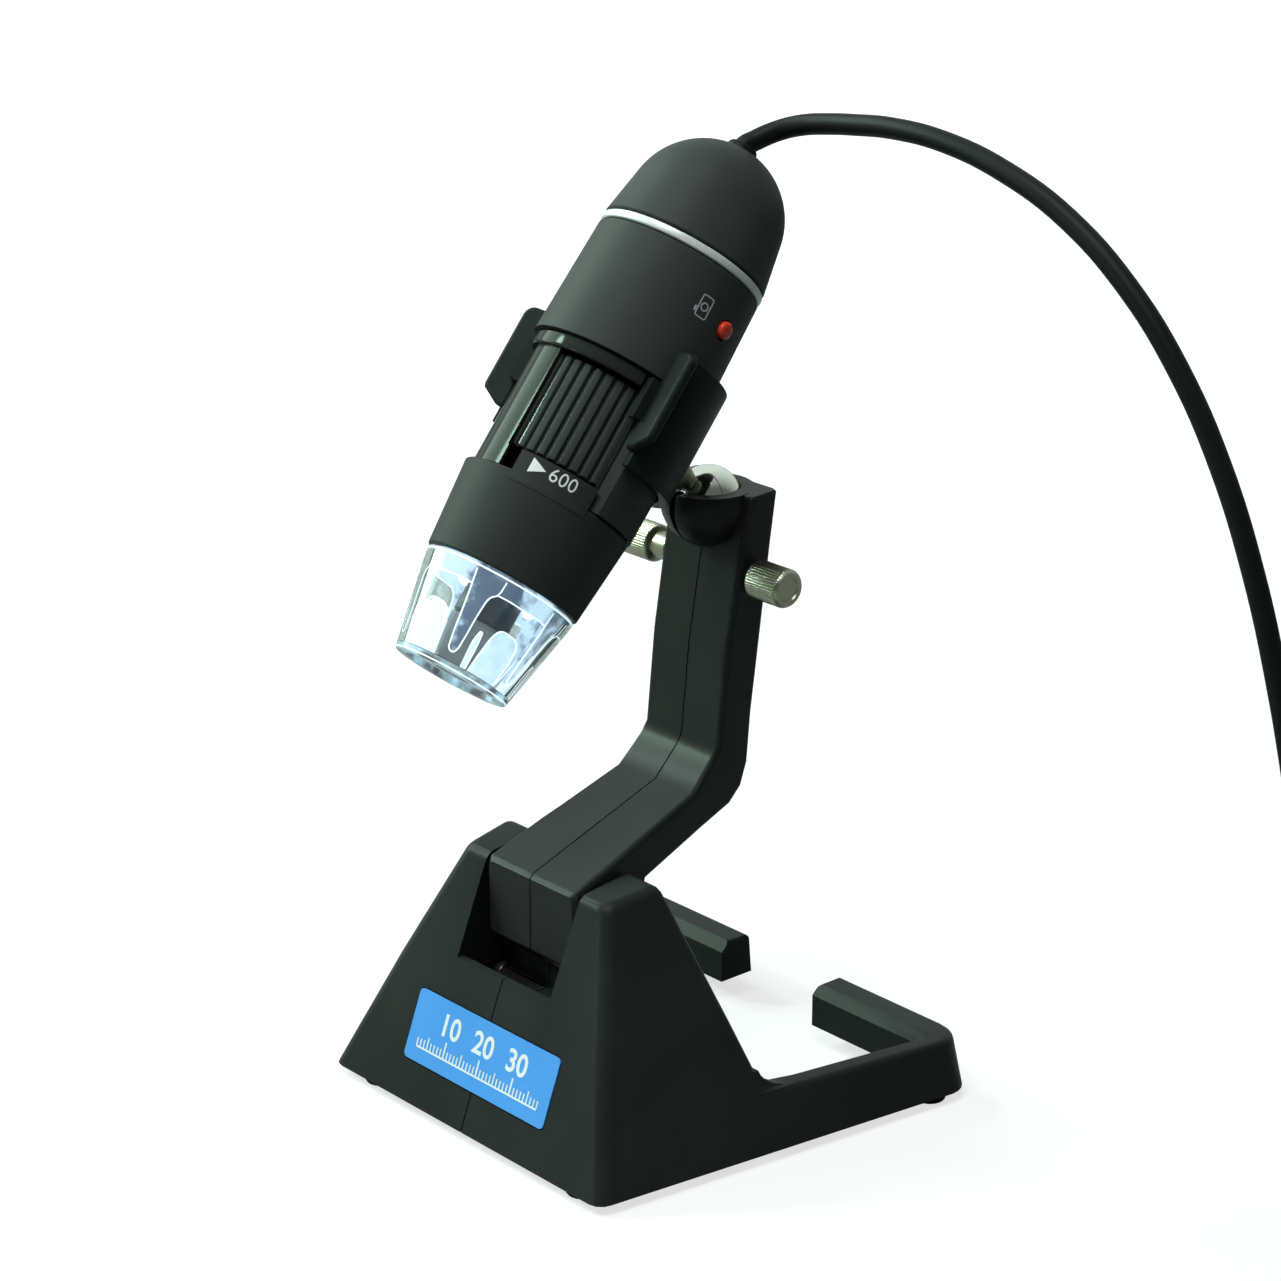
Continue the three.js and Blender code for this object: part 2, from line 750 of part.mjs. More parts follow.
function armBody(side) {
  const rings = armShares.map(([frontIn, frontUp, backIn, backUp, width]) => {
    const front = vec(0, armStart + armReach * frontIn, armLow + armRise * frontUp);
    const back = vec(0, armStart + armReach * backIn, armLow + armRise * backUp);
    const down = back.clone().sub(front).normalize();
    const half = armFootHalf * width;
    const inner = half - armRound;
    const nearCorner = front.clone().addScaledVector(down, armRound).setX(inner);
    const farCorner = back.clone().addScaledVector(down, -armRound).setX(inner);
    const out = vec(1, 0, 0);
    return [
      front.clone().setX(seam),
      ...arc(nearCorner, armRound, -90, 0, arcSteps, out, down),
      ...arc(farCorner, armRound, 0, 90, arcSteps, out, down),
      back.clone().setX(seam),
    ].map((p) => vec(side * p.x, p.y, p.z));
  });
  return solid(loft(rings));
}

const cupCut = ballHeight + cupTop;

function armHalf(side) {
  const cup = new THREE.SphereGeometry(cupRadius, ballSegments, ballSegments / 2)
    .translate(0, ballInset, ballHeight);
  const span = cupRadius + overrun;
  const keep = boxBetween(
    vec(side > 0 ? seam : -span, ballInset - span, ballHeight - span),
    vec(side > 0 ? span : -seam, ballInset + span, cupCut),
  );
  let body = armBody(side).add(solid(cup).intersect(solid(keep)));
  const socket = new THREE.SphereGeometry(ballRadius + clearance, ballSegments, ballSegments / 2)
    .translate(0, ballInset, ballHeight);
  body = body.subtract(solid(socket));
  const slotBottom = cupCut - cupSlotDepth;
  const wide = cupSlotWidth / 2;
  const slotShape = [[-overrun, slotBottom], [seam, slotBottom],
    [wide, cupCut + overrun], [-overrun, cupCut + overrun]]
    .map(([x, z]) => [side * x, z]);
  const slot = slab(slotShape, -ballInset, -(ballInset - span)).rotateX(Math.PI / 2);
  body = body.subtract(solid(slot));
  const pinBore = barX(pinRadius + clearance, -pinLength, pinLength, pinInset, pinHeight);
  body = body.subtract(solid(pinBore));
  const knobBore = barX(knobShankRadius + clearance, -pinLength, pinLength, knobInset, knobHeight);
  body = body.subtract(solid(knobBore));
  armScrews.forEach(([, y, z, half]) => {
    const head = -half + armScrewHeadSink + screwHeadHeight;
    const bore = barX(screwShaftRadius + clearance, -half, armScrewReach + clearance, y, z);
    const sink = barX(screwHeadRadius + clearance, -half - overrun, head + clearance, y, z);
    body = body.subtract(solid(bore).add(solid(sink)));
  });
  return body;
}

const armWidthAt = (row) => armFootHalf * armShares[row][4];
const armScrews = [
  ['arm_screw_lower', armScrewLowInset, armScrewLowHeight, armWidthAt(5)],
  ['arm_screw_upper', armScrewHighInset, armScrewHighHeight, armWidthAt(10)],
];
piece(armGroup, 'arm_right_half', armSpace(geometryOf(armHalf(1))), 'standBlack');
piece(armGroup, 'arm_left_half', armSpace(geometryOf(armHalf(-1))), 'standBlack');
armScrews.forEach(([name, y, z, half]) => {
  const head = -half + armScrewHeadSink + screwHeadHeight;
  piece(armGroup, name, armSpace(geometryOf(screwBody(head, armScrewReach, y, z))), 'steel');
});

// Thumb screw and nut that squeeze the cup on the ball
const knobGroup = new THREE.Group();
knobGroup.position.set(0, knobInset - pinInset, knobHeight - pinHeight);
armGroup.add(knobGroup);

function knurledHead(from, side) {
  const points = [];
  for (let i = 0; i < knobTeeth * 2; i += 1) {
    const a = Math.PI * i / knobTeeth;
    const r = knobRadius - (i % 2 ? knobToothDepth : 0) - knobChamfer;
    points.push(new THREE.Vector2(r * Math.cos(a), r * Math.sin(a)));
  }
  const g = new THREE.ExtrudeGeometry(new THREE.Shape(points), {
    depth: knobLength - 2 * knobChamfer,
    bevelThickness: knobChamfer,
    bevelSize: knobChamfer,
    bevelSegments: 2,
  });
  g.translate(0, 0, knobChamfer).rotateY(Math.PI / 2);
  if (side < 0) {
    g.rotateY(Math.PI);
  }
  return g.translate(from, 0, 0);
}
const shank = barX(knobShankRadius, rightKnobStart - knobShankLength, rightKnobStart + knobChamfer, 0, 0);
piece(knobGroup, 'right_thumb_screw', solid(knurledHead(rightKnobStart, 1)).add(solid(shank)), 'nickel');
const nutBore = barX(
  knobShankRadius + clearance,
  rightKnobStart - knobShankLength - clearance,
  0,
  0,
  0,
);
const collar = barX(leftNutCollarRadius, -leftNutStart - knobChamfer, -leftNutCollarStart, 0, 0);
piece(knobGroup, 'left_thumb_nut',
  solid(knurledHead(-leftNutStart, -1)).add(solid(collar)).subtract(solid(nutBore)), 'nickel');

// Ball, stud and clip, modelled about the ball's middle with the stud along y
const ballGroup = new THREE.Group();
ballGroup.position.set(0, ballInset - pinInset, ballHeight - pinHeight);
armGroup.add(ballGroup);
const ball = new THREE.SphereGeometry(ballRadius, ballSegments, ballSegments / 2);
piece(ballGroup, 'steel_ball', ball, 'steel');
const studGroup = new THREE.Group();
studGroup.rotation.x = -rad(tubeTiltDeg);
ballGroup.add(studGroup);
const clipBack = ballAcross - clipInner - clipWall;
const bossFace = clipBack - clipBossHeight;
const studStart = ballRadius + clearance;
const studProfile = [[0, -studStart], [studThroatRadius, -studStart],
  [studRadius, -studStart - studTaper],
  [studRadius, -(bossFace - studFlangeThickness - clearance)],
  [studFlangeRadius, -(bossFace - studFlangeThickness - clearance)],
  [studFlangeRadius, -(bossFace - clearance)], [studPinRadius, -(bossFace - clearance)],
  [studPinRadius, -(clipBack + clipWall / 2)], [0, -(clipBack + clipWall / 2)]];
piece(studGroup, 'ball_stud', turned(studProfile, smallSegments).rotateX(Math.PI / 2), 'steel');

// Everything on the tube shares this frame: z runs up the axis from the dome
const tubeGroup = new THREE.Group();
tubeGroup.position.set(0, -ballAcross, ballAlong);
studGroup.add(tubeGroup);

function clipBody() {
  const outer = clipInner + clipWall;
  let body = solid(sector(clipInner, outer, clipHalfGapDeg, 360 - clipHalfGapDeg, clipStart, clipEnd));
  [1, -1].forEach((side) => {
    const corner = arc(vec(earReach - earCorner, -clipStart - earCorner, 0), earCorner, 0, 90, arcSteps)
      .map((p) => [p.x, p.y]);
    const ear = [[clipInner, -clipStart], [clipInner, -clipEnd], [outer, -clipEnd],
      [earReach, -clipEnd + earFootDrop], ...corner];
    const bar = slab(ear, -earThickness / 2, earThickness / 2)
      .rotateX(Math.PI / 2)
      .rotateZ(rad(side * earDeg - 90));
    body = body.add(solid(bar));
    const web = sector(clipInner, outer, Math.min(side * earDeg, side * clipHalfGapDeg) - skinStep,
      Math.max(side * earDeg, side * clipHalfGapDeg) + skinStep, clipStart, clipEnd);
    body = body.add(solid(web));
    const low = Math.min(side * tabLowDeg, side * clipHalfGapDeg);
    const high = Math.max(side * tabLowDeg, side * clipHalfGapDeg);
    const hook = sector(clipInner, tabOuter, low, high, tabStart, tabEnd);
    const inLow = Math.min(side * tabLowDeg, side * (tabLowDeg + tabNoseDeg));
    const inHigh = Math.max(side * tabLowDeg, side * (tabLowDeg + tabNoseDeg));
    const nose = sector(tabInner, tabOuter, inLow, inHigh, tabStart, tabEnd);
    body = body.add(solid(hook)).add(solid(nose));
  });
  const boss = barY(clipBossRadius, clipInner + clipWall / 2, outer + clipBossHeight, 0, -ballAlong);
  const bore = barY(studPinRadius + clearance, clipInner - overrun, outer + 2 * clipBossHeight,
    0, -ballAlong);
  return body.add(solid(boss)).subtract(solid(bore));
}
piece(tubeGroup, 'clip', clipBody(), 'standBlack');

const scopeGroup = new THREE.Group();
tubeGroup.add(scopeGroup);

// Dome cap with a hole for the cord's grommet
function domeProfile() {
  const holeDeg = THREE.MathUtils.radToDeg(Math.asin(grommetHole / domeRadius));
  const blendDeg = THREE.MathUtils.radToDeg(Math.acos(1 - domeBlend / domeRadius));
  const outer = [];
  const inner = [];
  const steps = domeSteps;
  for (let i = 0; i <= steps; i += 1) {
    const a = rad(holeDeg + (blendDeg - holeDeg) * i / steps);
    outer.push([domeRadius * Math.sin(a), domeRadius * (1 - Math.cos(a))]);
    const r = domeRadius - domeWall;
    if (i % 2 === 0) {
      inner.push([Math.max(grommetHole, r * Math.sin(a)), domeRadius - r * Math.cos(a)]);
    }
  }
  outer.push([ringRadius, domeLength]);
  inner.push([ringRadius - domeWall, domeLength]);
  return [...outer, ...inner.reverse(), outer[0]];
}
piece(scopeGroup, 'dome_cap', turned(domeProfile()), 'rubberBlack');

const ringStart = domeLength + clearance;
piece(scopeGroup, 'silver_ring',
  tube(ringRadius, ringRadius - ringWall, ringStart, ringStart + ringWidth), 'silver');

// Upper housing: a shell whose back runs on to the lower housing
const upperStart = ringStart + ringWidth + clearance;
const sleeveBore = sleeveRadius + clearance;

function upperHousing() {
  const throat = upperEnd - sleeveOverlap;
  const innerTop = ringRadius - upperWall;
  const profile = [[innerTop, upperStart], [ringRadius, upperStart], [upperRadius, upperEnd],
    [extensionRadius, bodySplit], [sleeveBore, bodySplit], [sleeveBore, throat],
    [innerTop, throat - sleeveOverlap], [innerTop, upperStart]];
  let body = solid(turned(profile));
  const recess = sector(0, upperRadius + overrun, -recessHalfDeg, recessHalfDeg,
    upperEnd, bodySplit + overrun);
  body = body.subtract(solid(recess));
  return body.subtract(buttonBore(buttonRadius + clearance, innerTop - overrun, upperRadius + overrun));
}

// A round cutter along the button's axis between two radii
function buttonBore(radius, from, to) {
  const a = rad(buttonAngleDeg - 90);
  const g = barX(radius, from, to, 0, -buttonAt);
  return solid(g.rotateZ(a));
}
piece(scopeGroup, 'upper_housing', upperHousing(), 'rubberBlack');

// Inner sleeve with the window over the focus wheel
function sleeve() {
  const inner = sleeveRadius - sleeveWall;
  const start = upperEnd - sleeveOverlap + clearance;
  let body = solid(tube(sleeveRadius, inner, start, bodySplit));
  const band = sector(inner + sleeveWall / 2, collarRadius, -recessHalfDeg + bandInsetDeg,
    recessHalfDeg - bandInsetDeg,    collarStart, collarEnd);
  const tabGapDeg = tabLowDeg - tabRoomDeg;
  const tabs = [1, -1].map((side) => sector(tabInner - clearance, upperRadius,
    Math.min(side * tabGapDeg, side * recessHalfDeg), Math.max(side * tabGapDeg, side * recessHalfDeg),
    tabStart - clearance, tabEnd));
  body = body.add(solid(band).subtract(solid(tabs[0])).subtract(solid(tabs[1])));
  const window = sector(0, collarRadius + overrun, windowLowDeg, windowHighDeg,
    windowStart, windowEnd);
  const deep = sector(0, collarRadius + overrun, deepNotchLowDeg, deepNotchHighDeg,
    windowEnd - overrun, bodySplit + overrun);
  return body.subtract(solid(window)).subtract(solid(deep));
}
piece(scopeGroup, 'inner_sleeve', sleeve(), 'gloss');

// Lower housing with the tongue under the window
function lowerHousing() {
  const top = bodySplit + clearance;
  const profile = [[lowerTopRadius - lowerWall, top], [lowerTopRadius, top],
    [lowerEndRadius, lowerEnd], [lowerEndRadius - lowerWall, lowerEnd],
    [lowerTopRadius - lowerWall, top]];
  const tongue = sector(sleeveBore, lowerTopRadius, tongueLowDeg, tongueHighDeg,
    top - tongueRise, top + overrun);
  return solid(turned(profile)).add(solid(tongue));
}
piece(scopeGroup, 'lower_housing', lowerHousing(), 'rubberBlack');

// Clear tip: a thin cone with a shelf inside its rim
const tipStart = lowerEnd + clearance;
const tipProfile = [[tipRadius - tipWall, tipStart], [tipRadius, tipStart],
  [tipEndRadius, tubeLength], [tipEndRadius - tipShelf, tubeLength],
  [tipEndRadius - tipShelf, tubeLength - tipLip], [tipEndRadius - tipWall, tubeLength - tipLip],
  [tipRadius - tipWall, tipStart]];
piece(scopeGroup, 'clear_tip', turned(tipProfile), 'clear');

// Focus wheel with straight ribs
function focusWheel() {
  const points = [];
  const share = 360 / wheelRibs;
  for (let i = 0; i < wheelRibs; i += 1) {
    ribShares.forEach(([high, part]) => {
      const r = wheelRadius - wheelRib * (1 - high);
      const a = rad((i + part) * share);
      points.push(new THREE.Vector2(r * Math.cos(a), r * Math.sin(a)));
    });
  }
  const shape = new THREE.Shape(points);
  const hole = new THREE.Path();
  hole.absarc(0, 0, wheelRadius - wheelWall, 0, 2 * Math.PI, true);
  shape.holes.push(hole);
  const from = windowStart + wheelInset;
  const to = windowEnd - wheelInset;
  const g = new THREE.ExtrudeGeometry(shape, {
    depth: to - from,
    bevelEnabled: false,
    curveSegments: roundSegments / 2,
  });
  return g.translate(0, 0, -to);
}
piece(scopeGroup, 'focus_wheel', focusWheel(), 'gloss');

// Lens carrier with its two lenses
const carrierGroup = new THREE.Group();
scopeGroup.add(carrierGroup);
const webEnd = carrierWebStart + carrierWebThickness;
const carrierProfile = [[carrierBore, carrierStart], [carrierRadius, carrierStart],
  [carrierRadius, carrierEnd], [carrierBore, carrierEnd], [carrierBore, webEnd],
  [carrierWebRadius, webEnd], [carrierWebRadius, carrierWebStart], [carrierBore, carrierWebStart],
  [carrierBore, carrierStart]];
piece(carrierGroup, 'lens_carrier', turned(carrierProfile, roundSegments / 2), 'chip');

function lens(at, towards) {
  const r = carrierBore - clearance;
  const steps = arcSteps;
  const profile = [];
  for (let i = 0; i <= steps; i += 1) {
    const part = i / steps;
    profile.push([r * part, at - towards * lensCrown * (1 - part * part)]);
  }
  profile.push([r, at + towards * lensThickness]);
  profile.push([0, at + towards * lensThickness]);
  return turned(profile, roundSegments / 2);
}
piece(carrierGroup, 'rear_lens', lens(carrierWebStart - lensThickness - clearance, 1), 'clear');
piece(carrierGroup, 'objective_lens', lens(webEnd + lensThickness + clearance, -1), 'clear');

// Sensor board, image sensor and main board
piece(scopeGroup, 'sensor_board',
  turned([[0, sensorBoardAt], [sensorBoardRadius, sensorBoardAt],
    [sensorBoardRadius, sensorBoardAt + boardThickness], [0, sensorBoardAt + boardThickness]],
  roundSegments / 2), 'board');
const sensorTop = sensorBoardAt + boardThickness + clearance;
piece(scopeGroup, 'image_sensor', boxBetween(
  vec(-sensorSize / 2, -sensorSize / 2, -sensorTop - sensorHeight),
  vec(sensorSize / 2, sensorSize / 2, -sensorTop),
), 'chip');
piece(scopeGroup, 'main_board', boxBetween(
  vec(-mainBoardWidth / 2, -boardThickness / 2, -mainBoardEnd),
  vec(mainBoardWidth / 2, boardThickness / 2, -mainBoardStart),
), 'board');
const chipFace = -boardThickness / 2 - clearance;
piece(scopeGroup, 'controller_chip', boxBetween(
  vec(-chipSize / 2, chipFace - chipHeight, -chipAt - chipSize / 2),
  vec(chipSize / 2, chipFace, -chipAt + chipSize / 2),
), 'chip');

// Snap button and the switch behind it, on the button's own axis
const buttonGroup = new THREE.Group();
buttonGroup.rotation.z = rad(buttonAngleDeg - 90);
scopeGroup.add(buttonGroup);
const housingOut = ringRadius + (upperRadius - ringRadius)
  * (buttonAt - upperStart) / (upperEnd - upperStart);
const housingIn = ringRadius - upperWall;
const flangeOut = housingIn - clearance;
const buttonEnd = housingOut + buttonProud;
const buttonProfile = [[0, -(flangeOut - buttonFlangeThickness)],
  [buttonRadius + buttonFlange, -(flangeOut - buttonFlangeThickness)],
  [buttonRadius + buttonFlange, -flangeOut], [buttonRadius, -flangeOut]];
for (let i = 0; i <= arcSteps; i += 1) {
  const a = rad(90 * i / arcSteps);
  buttonProfile.push([buttonRadius - buttonCrown * (1 - Math.cos(a)),
    -(buttonEnd - buttonCrown * (1 - Math.sin(a)))]);
}
buttonProfile.push([0, -buttonEnd]);
piece(buttonGroup, 'snap_button',
  turned(buttonProfile, smallSegments).rotateY(Math.PI / 2).translate(0, 0, -buttonAt), 'red');
const switchTop = flangeOut - buttonFlangeThickness - buttonTravel - clearance;
const switchFoot = mainBoardWidth / 2 + clearance;
piece(buttonGroup, 'snap_switch', boxBetween(
  vec(switchFoot, -switchSize / 2, -buttonAt - switchSize / 2),
  vec(switchTop, switchSize / 2, -buttonAt + switchSize / 2),
), 'chip');

// Ring of lamps behind the clear tip
piece(scopeGroup, 'led_board',
  tube(ledBoardRadius, ledBoardBore, ledBoardAt, ledBoardAt + boardThickness, roundSegments / 2), 'board');
const ledFrom = ledBoardAt + boardThickness + clearance;
for (let i = 0; i < ledCount; i += 1) {
  const a = rad(360 * i / ledCount);
  const straight = ledFrom + ledLength - ledRadius;
  const profile = [[0, ledFrom], [ledRadius, ledFrom]];
  for (let k = 0; k <= arcSteps; k += 1) {
    const b = rad(90 * k / arcSteps);
    profile.push([k === arcSteps ? 0 : ledRadius * Math.cos(b), straight + ledRadius * Math.sin(b)]);
  }
  const g = turned(profile, smallSegments / 2)
    .translate(ledCircle * Math.sin(a), -ledCircle * Math.cos(a), 0);
  piece(scopeGroup, `led_${i + 1}`, g, 'white');
}

// Cord grommet in the dome
const flangeTop = domeWall + 2 * clearance;
piece(scopeGroup, 'cord_grommet', turned([[cordRadius + clearance, -grommetLength],
  [grommetTaper, -grommetLength], [grommetRadius, 0], [grommetRadius, flangeTop + clearance],
  [grommetFlange, flangeTop + clearance], [grommetFlange, flangeTop + clearance + grommetFlangeThickness],
  [cordRadius + clearance, flangeTop + clearance + grommetFlangeThickness],
  [cordRadius + clearance, -grommetLength]], smallSegments), 'cord');

// Cord: a run to the floor and a wound coil that ends at the plug
const cordGroup = new THREE.Group();
root.add(cordGroup);
const tubeDown = vec(0, -Math.sin(rad(tubeTiltDeg)), -Math.cos(rad(tubeTiltDeg)));
const cordStart = vec(0, tubeTopInset, tubeTopHeight).addScaledVector(tubeDown, cordStartDepth);
const coilInner = coilOuter - coilPitch * coilTurns / 2;

function coilPoint(turn) {
  const half = coilTurns / 2;
  const r = coilInner + coilPitch * Math.abs(turn - half);
  const climb = THREE.MathUtils.clamp((turn - half) * 2 + 0.5, 0, 1);
  const a = Math.PI / 2 - 2 * Math.PI * turn;
  return vec(
    coilCentreX + r * Math.cos(a),
    coilCentreY + r * Math.sin(a),
    cordRadius + coilLayer * climb,
  );
}
const runEnd = coilPoint(0);
const runPoints = [cordStart, ...cordRoute.map(([x, y, z]) => vec(x, y, z)),
  vec(runEnd.x - clearance, runEnd.y, runEnd.z)];
const tailTurn = coilTurns + 0.25;
const coilPoints = [];
for (let i = 0; i <= tailTurn * coilSteps; i += 1) {
  coilPoints.push(coilPoint(i / coilSteps));
}
const tail = coilTailRoute.map(([x, y, z]) => vec(x, y, z));

function sweep(points, sides, steps) {
  const curve = new THREE.CatmullRomCurve3(points, false, 'centripetal');
  const shape = new THREE.Shape();
  for (let i = 0; i < sides; i += 1) {
    const a = 2 * Math.PI * i / sides;
    const x = cordRadius * Math.cos(a);
    const y = cordRadius * Math.sin(a);
    if (i === 0) {
      shape.moveTo(x, y);
    } else {
      shape.lineTo(x, y);
    }
  }
  shape.closePath();
  curve.arcLengthDivisions = 40 * points.length;
  return [curve, new THREE.ExtrudeGeometry(shape, {
    steps, extrudePath: curve, bevelEnabled: false,
  })];
}

function leastGap(points, skip) {
  let least = Infinity;
  for (let i = 0; i < points.length; i += 1) {
    for (let k = i + skip; k < points.length; k += 1) {
      least = Math.min(least, points[i].distanceTo(points[k]));
    }
  }
  return least - 2 * cordRadius;
}
const [runCurve, runGeometry] = sweep(runPoints, runSides, runSteps);
const coilAll = [...coilPoints, ...tail];
const [coilCurve, coilGeometry] = sweep(coilAll, coilSides,
  Math.round(tailTurn * coilSteps) + tail.length + 1);
piece(cordGroup, 'cord_run', runGeometry, 'cord');
piece(cordGroup, 'cord_coil', coilGeometry, 'cord');
const coilMeasure = coilCurve.getSpacedPoints(coilAll.length * 2);
console.log('cord run length', runCurve.getLength().toFixed(1),
  'coil length', coilCurve.getLength().toFixed(1),
  'least gap', leastGap(coilMeasure, coilSkip).toFixed(3));

// Plug: a moulded grip and its metal shell, lying beside the coil
const plugGroup = new THREE.Group();
const plugStart = tail[tail.length - 1];
plugGroup.position.set(plugStart.x, plugStart.y - plugGap, plugThickness / 2);
cordGroup.add(plugGroup);

function plugRing(y, widthShare) {
  const w = plugWidth * widthShare;
  const h = plugThickness * widthShare;
  return roundedRect(w, h, plugRound * widthShare).map(([x, z]) => vec(x, y, z));
}
const neckEnd = -plugNeck;
piece(plugGroup, 'plug_grip', loft([
  plugRing(0, plugStartShare),
  plugRing(neckEnd / 2, plugNeckShare),
  plugRing(neckEnd, plugEdgeShare),
  plugRing(neckEnd - plugRound, 1),
  plugRing(-plugLength + plugRound / 2, 1),
  plugRing(-plugLength, plugEdgeShare),
]), 'cord');
const shellFrom = -plugLength - clearance;
const shellOuter = boxBetween(
  vec(-shellWidth / 2, shellFrom - shellLength, -shellThickness / 2),
  vec(shellWidth / 2, shellFrom, shellThickness / 2),
);
const shellHollow = boxBetween(
  vec(-shellWidth / 2 + shellWall, shellFrom - shellLength - overrun, -shellThickness / 2 + shellWall),
  vec(shellWidth / 2 - shellWall, shellFrom - overrun, shellThickness / 2 - shellWall - shellTongue),
);
piece(plugGroup, 'plug_shell', solid(shellOuter).subtract(solid(shellHollow)), 'steel');

// The origin is the middle of the box's floor, measured without the cord
root.updateMatrixWorld(true);
const bounds = new THREE.Box3();
root.traverse((node) => {
  const corded = ['cord_run', 'cord_coil', 'plug_grip', 'plug_shell', 'cord_grommet'];
  if (node.isMesh && !corded.includes(node.name)) {
    bounds.expandByObject(node, true);
  }
});
const shift = vec(
  -(bounds.min.x + bounds.max.x) / 2,
  -(bounds.min.y + bounds.max.y) / 2,
  -bounds.min.z,
);
root.position.copy(shift);
console.log('shift', shift.toArray().map((v) => v.toFixed(4)).join(' '));

export default root;
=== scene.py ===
"""Visual model of a desk digital microscope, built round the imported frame."""
import json
from math import acos, asin, cos, pi, radians, sin, tan

import bmesh
import bpy
from mathutils import Matrix, Vector

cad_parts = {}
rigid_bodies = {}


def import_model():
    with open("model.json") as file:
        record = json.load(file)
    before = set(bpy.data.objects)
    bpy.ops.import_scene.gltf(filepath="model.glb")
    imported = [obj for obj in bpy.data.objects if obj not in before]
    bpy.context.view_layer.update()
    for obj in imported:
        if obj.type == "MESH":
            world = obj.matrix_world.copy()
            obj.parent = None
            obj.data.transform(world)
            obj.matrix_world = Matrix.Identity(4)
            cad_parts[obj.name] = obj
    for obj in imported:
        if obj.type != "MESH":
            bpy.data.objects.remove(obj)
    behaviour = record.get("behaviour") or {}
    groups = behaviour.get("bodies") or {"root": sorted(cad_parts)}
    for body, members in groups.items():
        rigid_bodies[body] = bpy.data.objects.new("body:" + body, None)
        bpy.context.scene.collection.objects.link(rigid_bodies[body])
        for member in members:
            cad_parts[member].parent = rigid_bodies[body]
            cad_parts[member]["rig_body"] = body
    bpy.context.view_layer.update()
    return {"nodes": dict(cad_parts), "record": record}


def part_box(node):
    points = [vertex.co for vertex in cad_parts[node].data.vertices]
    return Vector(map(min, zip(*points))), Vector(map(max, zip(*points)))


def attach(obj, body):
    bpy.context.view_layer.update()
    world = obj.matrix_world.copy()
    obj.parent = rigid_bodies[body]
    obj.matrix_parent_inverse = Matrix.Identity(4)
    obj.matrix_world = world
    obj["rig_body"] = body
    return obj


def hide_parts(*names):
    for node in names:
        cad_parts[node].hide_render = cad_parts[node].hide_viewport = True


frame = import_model()
NODES = frame["nodes"]
MM = 0.001
SHIFT_Y = -39.4113  # from the fitted frame to the row frame, in mm

# The tube's own axes start at the dome's top, with y towards its front and z down along it
TILT = radians(39.26)
TUBE_TOP = (0.0, 70.44, 180.98)
ACROSS = (1.0, 0.0, 0.0)
FRONT = (0.0, -cos(TILT), sin(TILT))
DOWN = (0.0, -sin(TILT), -cos(TILT))


def row(x, y, z):
    """A point of the fitted frame, in mm, as a point of the row frame, in metres."""
    return Vector((x, y + SHIFT_Y, z)) * MM


# Helpers: shapes are made in millimetres, in a place's own axes, and then set in the row frame
# Faces that meet at more than so many degrees have an edge: on most pieces, and on others
SHARP, LOW_SHARP, HIGH_SHARP, ROUND_SHARP, ROUNDER_SHARP = 35.0, 30.0, 40.0, 50.0, 60.0
MERGE, SLIVER = 1e-4, 1e-5  # points this close are one, and thinner faces are dropped
CAD_MERGE = 2e-6  # the same for the solids, which are in metres
CAD_FLAT = radians(0.4)  # the solids' faces that turn less than this are one
FACE_WEIGHT = 80  # how much large faces count in the smooth shading
OVERRUN = 1.0  # how far cutting shapes run past what they cut
FULL = 360.0
# Segments of turned shapes, from the smallest to the largest
TINY, SMALL, MEDIUM, LARGE, BROAD, FINE, FINER = 24, 32, 48, 72, 96, 120, 144


def link(obj):
    bpy.context.scene.collection.objects.link(obj)
    return obj


def paint(obj, material):
    obj.data.materials.clear()
    obj.data.materials.append(material)
    return obj


def polar(radius, angle):
    """A point at a radius and an angle, which turns from +y towards +x."""
    return radius * sin(angle), radius * cos(angle)


def shade(mesh, angle):
    """Smooth faces, with a sharp edge wherever two faces meet at more than the angle."""
    bm = bmesh.new()
    bm.from_mesh(mesh)
    limit = radians(angle)
    for face in bm.faces:
        face.smooth = True
    for edge in bm.edges:
        edge.smooth = not (len(edge.link_faces) == 2 and edge.calc_face_angle(0) > limit)
    bm.to_mesh(mesh)
    bm.free()


def axes(x, y, z, origin):
    """A place: three directions of the fitted frame and an origin, in mm."""
    turn = Matrix((x, y, z)).transposed().to_4x4()
    return Matrix.Scale(MM, 4) @ Matrix.Translation(
        Vector(origin) + Vector((0, SHIFT_Y, 0))) @ turn


def object_of(bm, name):
    mesh = bpy.data.meshes.new(name)
    bm.to_mesh(mesh)
    bm.free()
    return link(bpy.data.objects.new(name, mesh))


def loose(bm):
    """A cleaned bmesh as an object that still lacks its place."""
    bmesh.ops.remove_doubles(bm, verts=bm.verts, dist=MERGE)
    bmesh.ops.dissolve_degenerate(bm, dist=SLIVER, edges=bm.edges)
    bmesh.ops.recalc_face_normals(bm, faces=bm.faces)
    return object_of(bm, "tool")


def evaluated(obj):
    return bpy.data.meshes.new_from_object(
        obj.evaluated_get(bpy.context.evaluated_depsgraph_get()))


def apply_modifiers(obj):
    mesh = evaluated(obj)
    obj.modifiers.clear()
    obj.data = mesh
    return obj


def bmesh_of(obj):
    """A curve or text object as a bmesh, in its place."""
    mesh = evaluated(obj)
    bpy.data.objects.remove(obj)
    bm = bmesh.new()
    bm.from_mesh(mesh)
    return bm


def as_object(shape):
    return loose(shape) if isinstance(shape, bmesh.types.BMesh) else shape


def combine(obj, shapes, operation):
    """Cuts other shapes out of an object, or joins them on, and removes them."""
    for other in map(as_object, shapes):
        step = obj.modifiers.new("form", "BOOLEAN")
        step.operation = operation
        step.solver = "EXACT"
        step.object = other
        apply_modifiers(obj)
        bpy.data.objects.remove(other)
    return obj


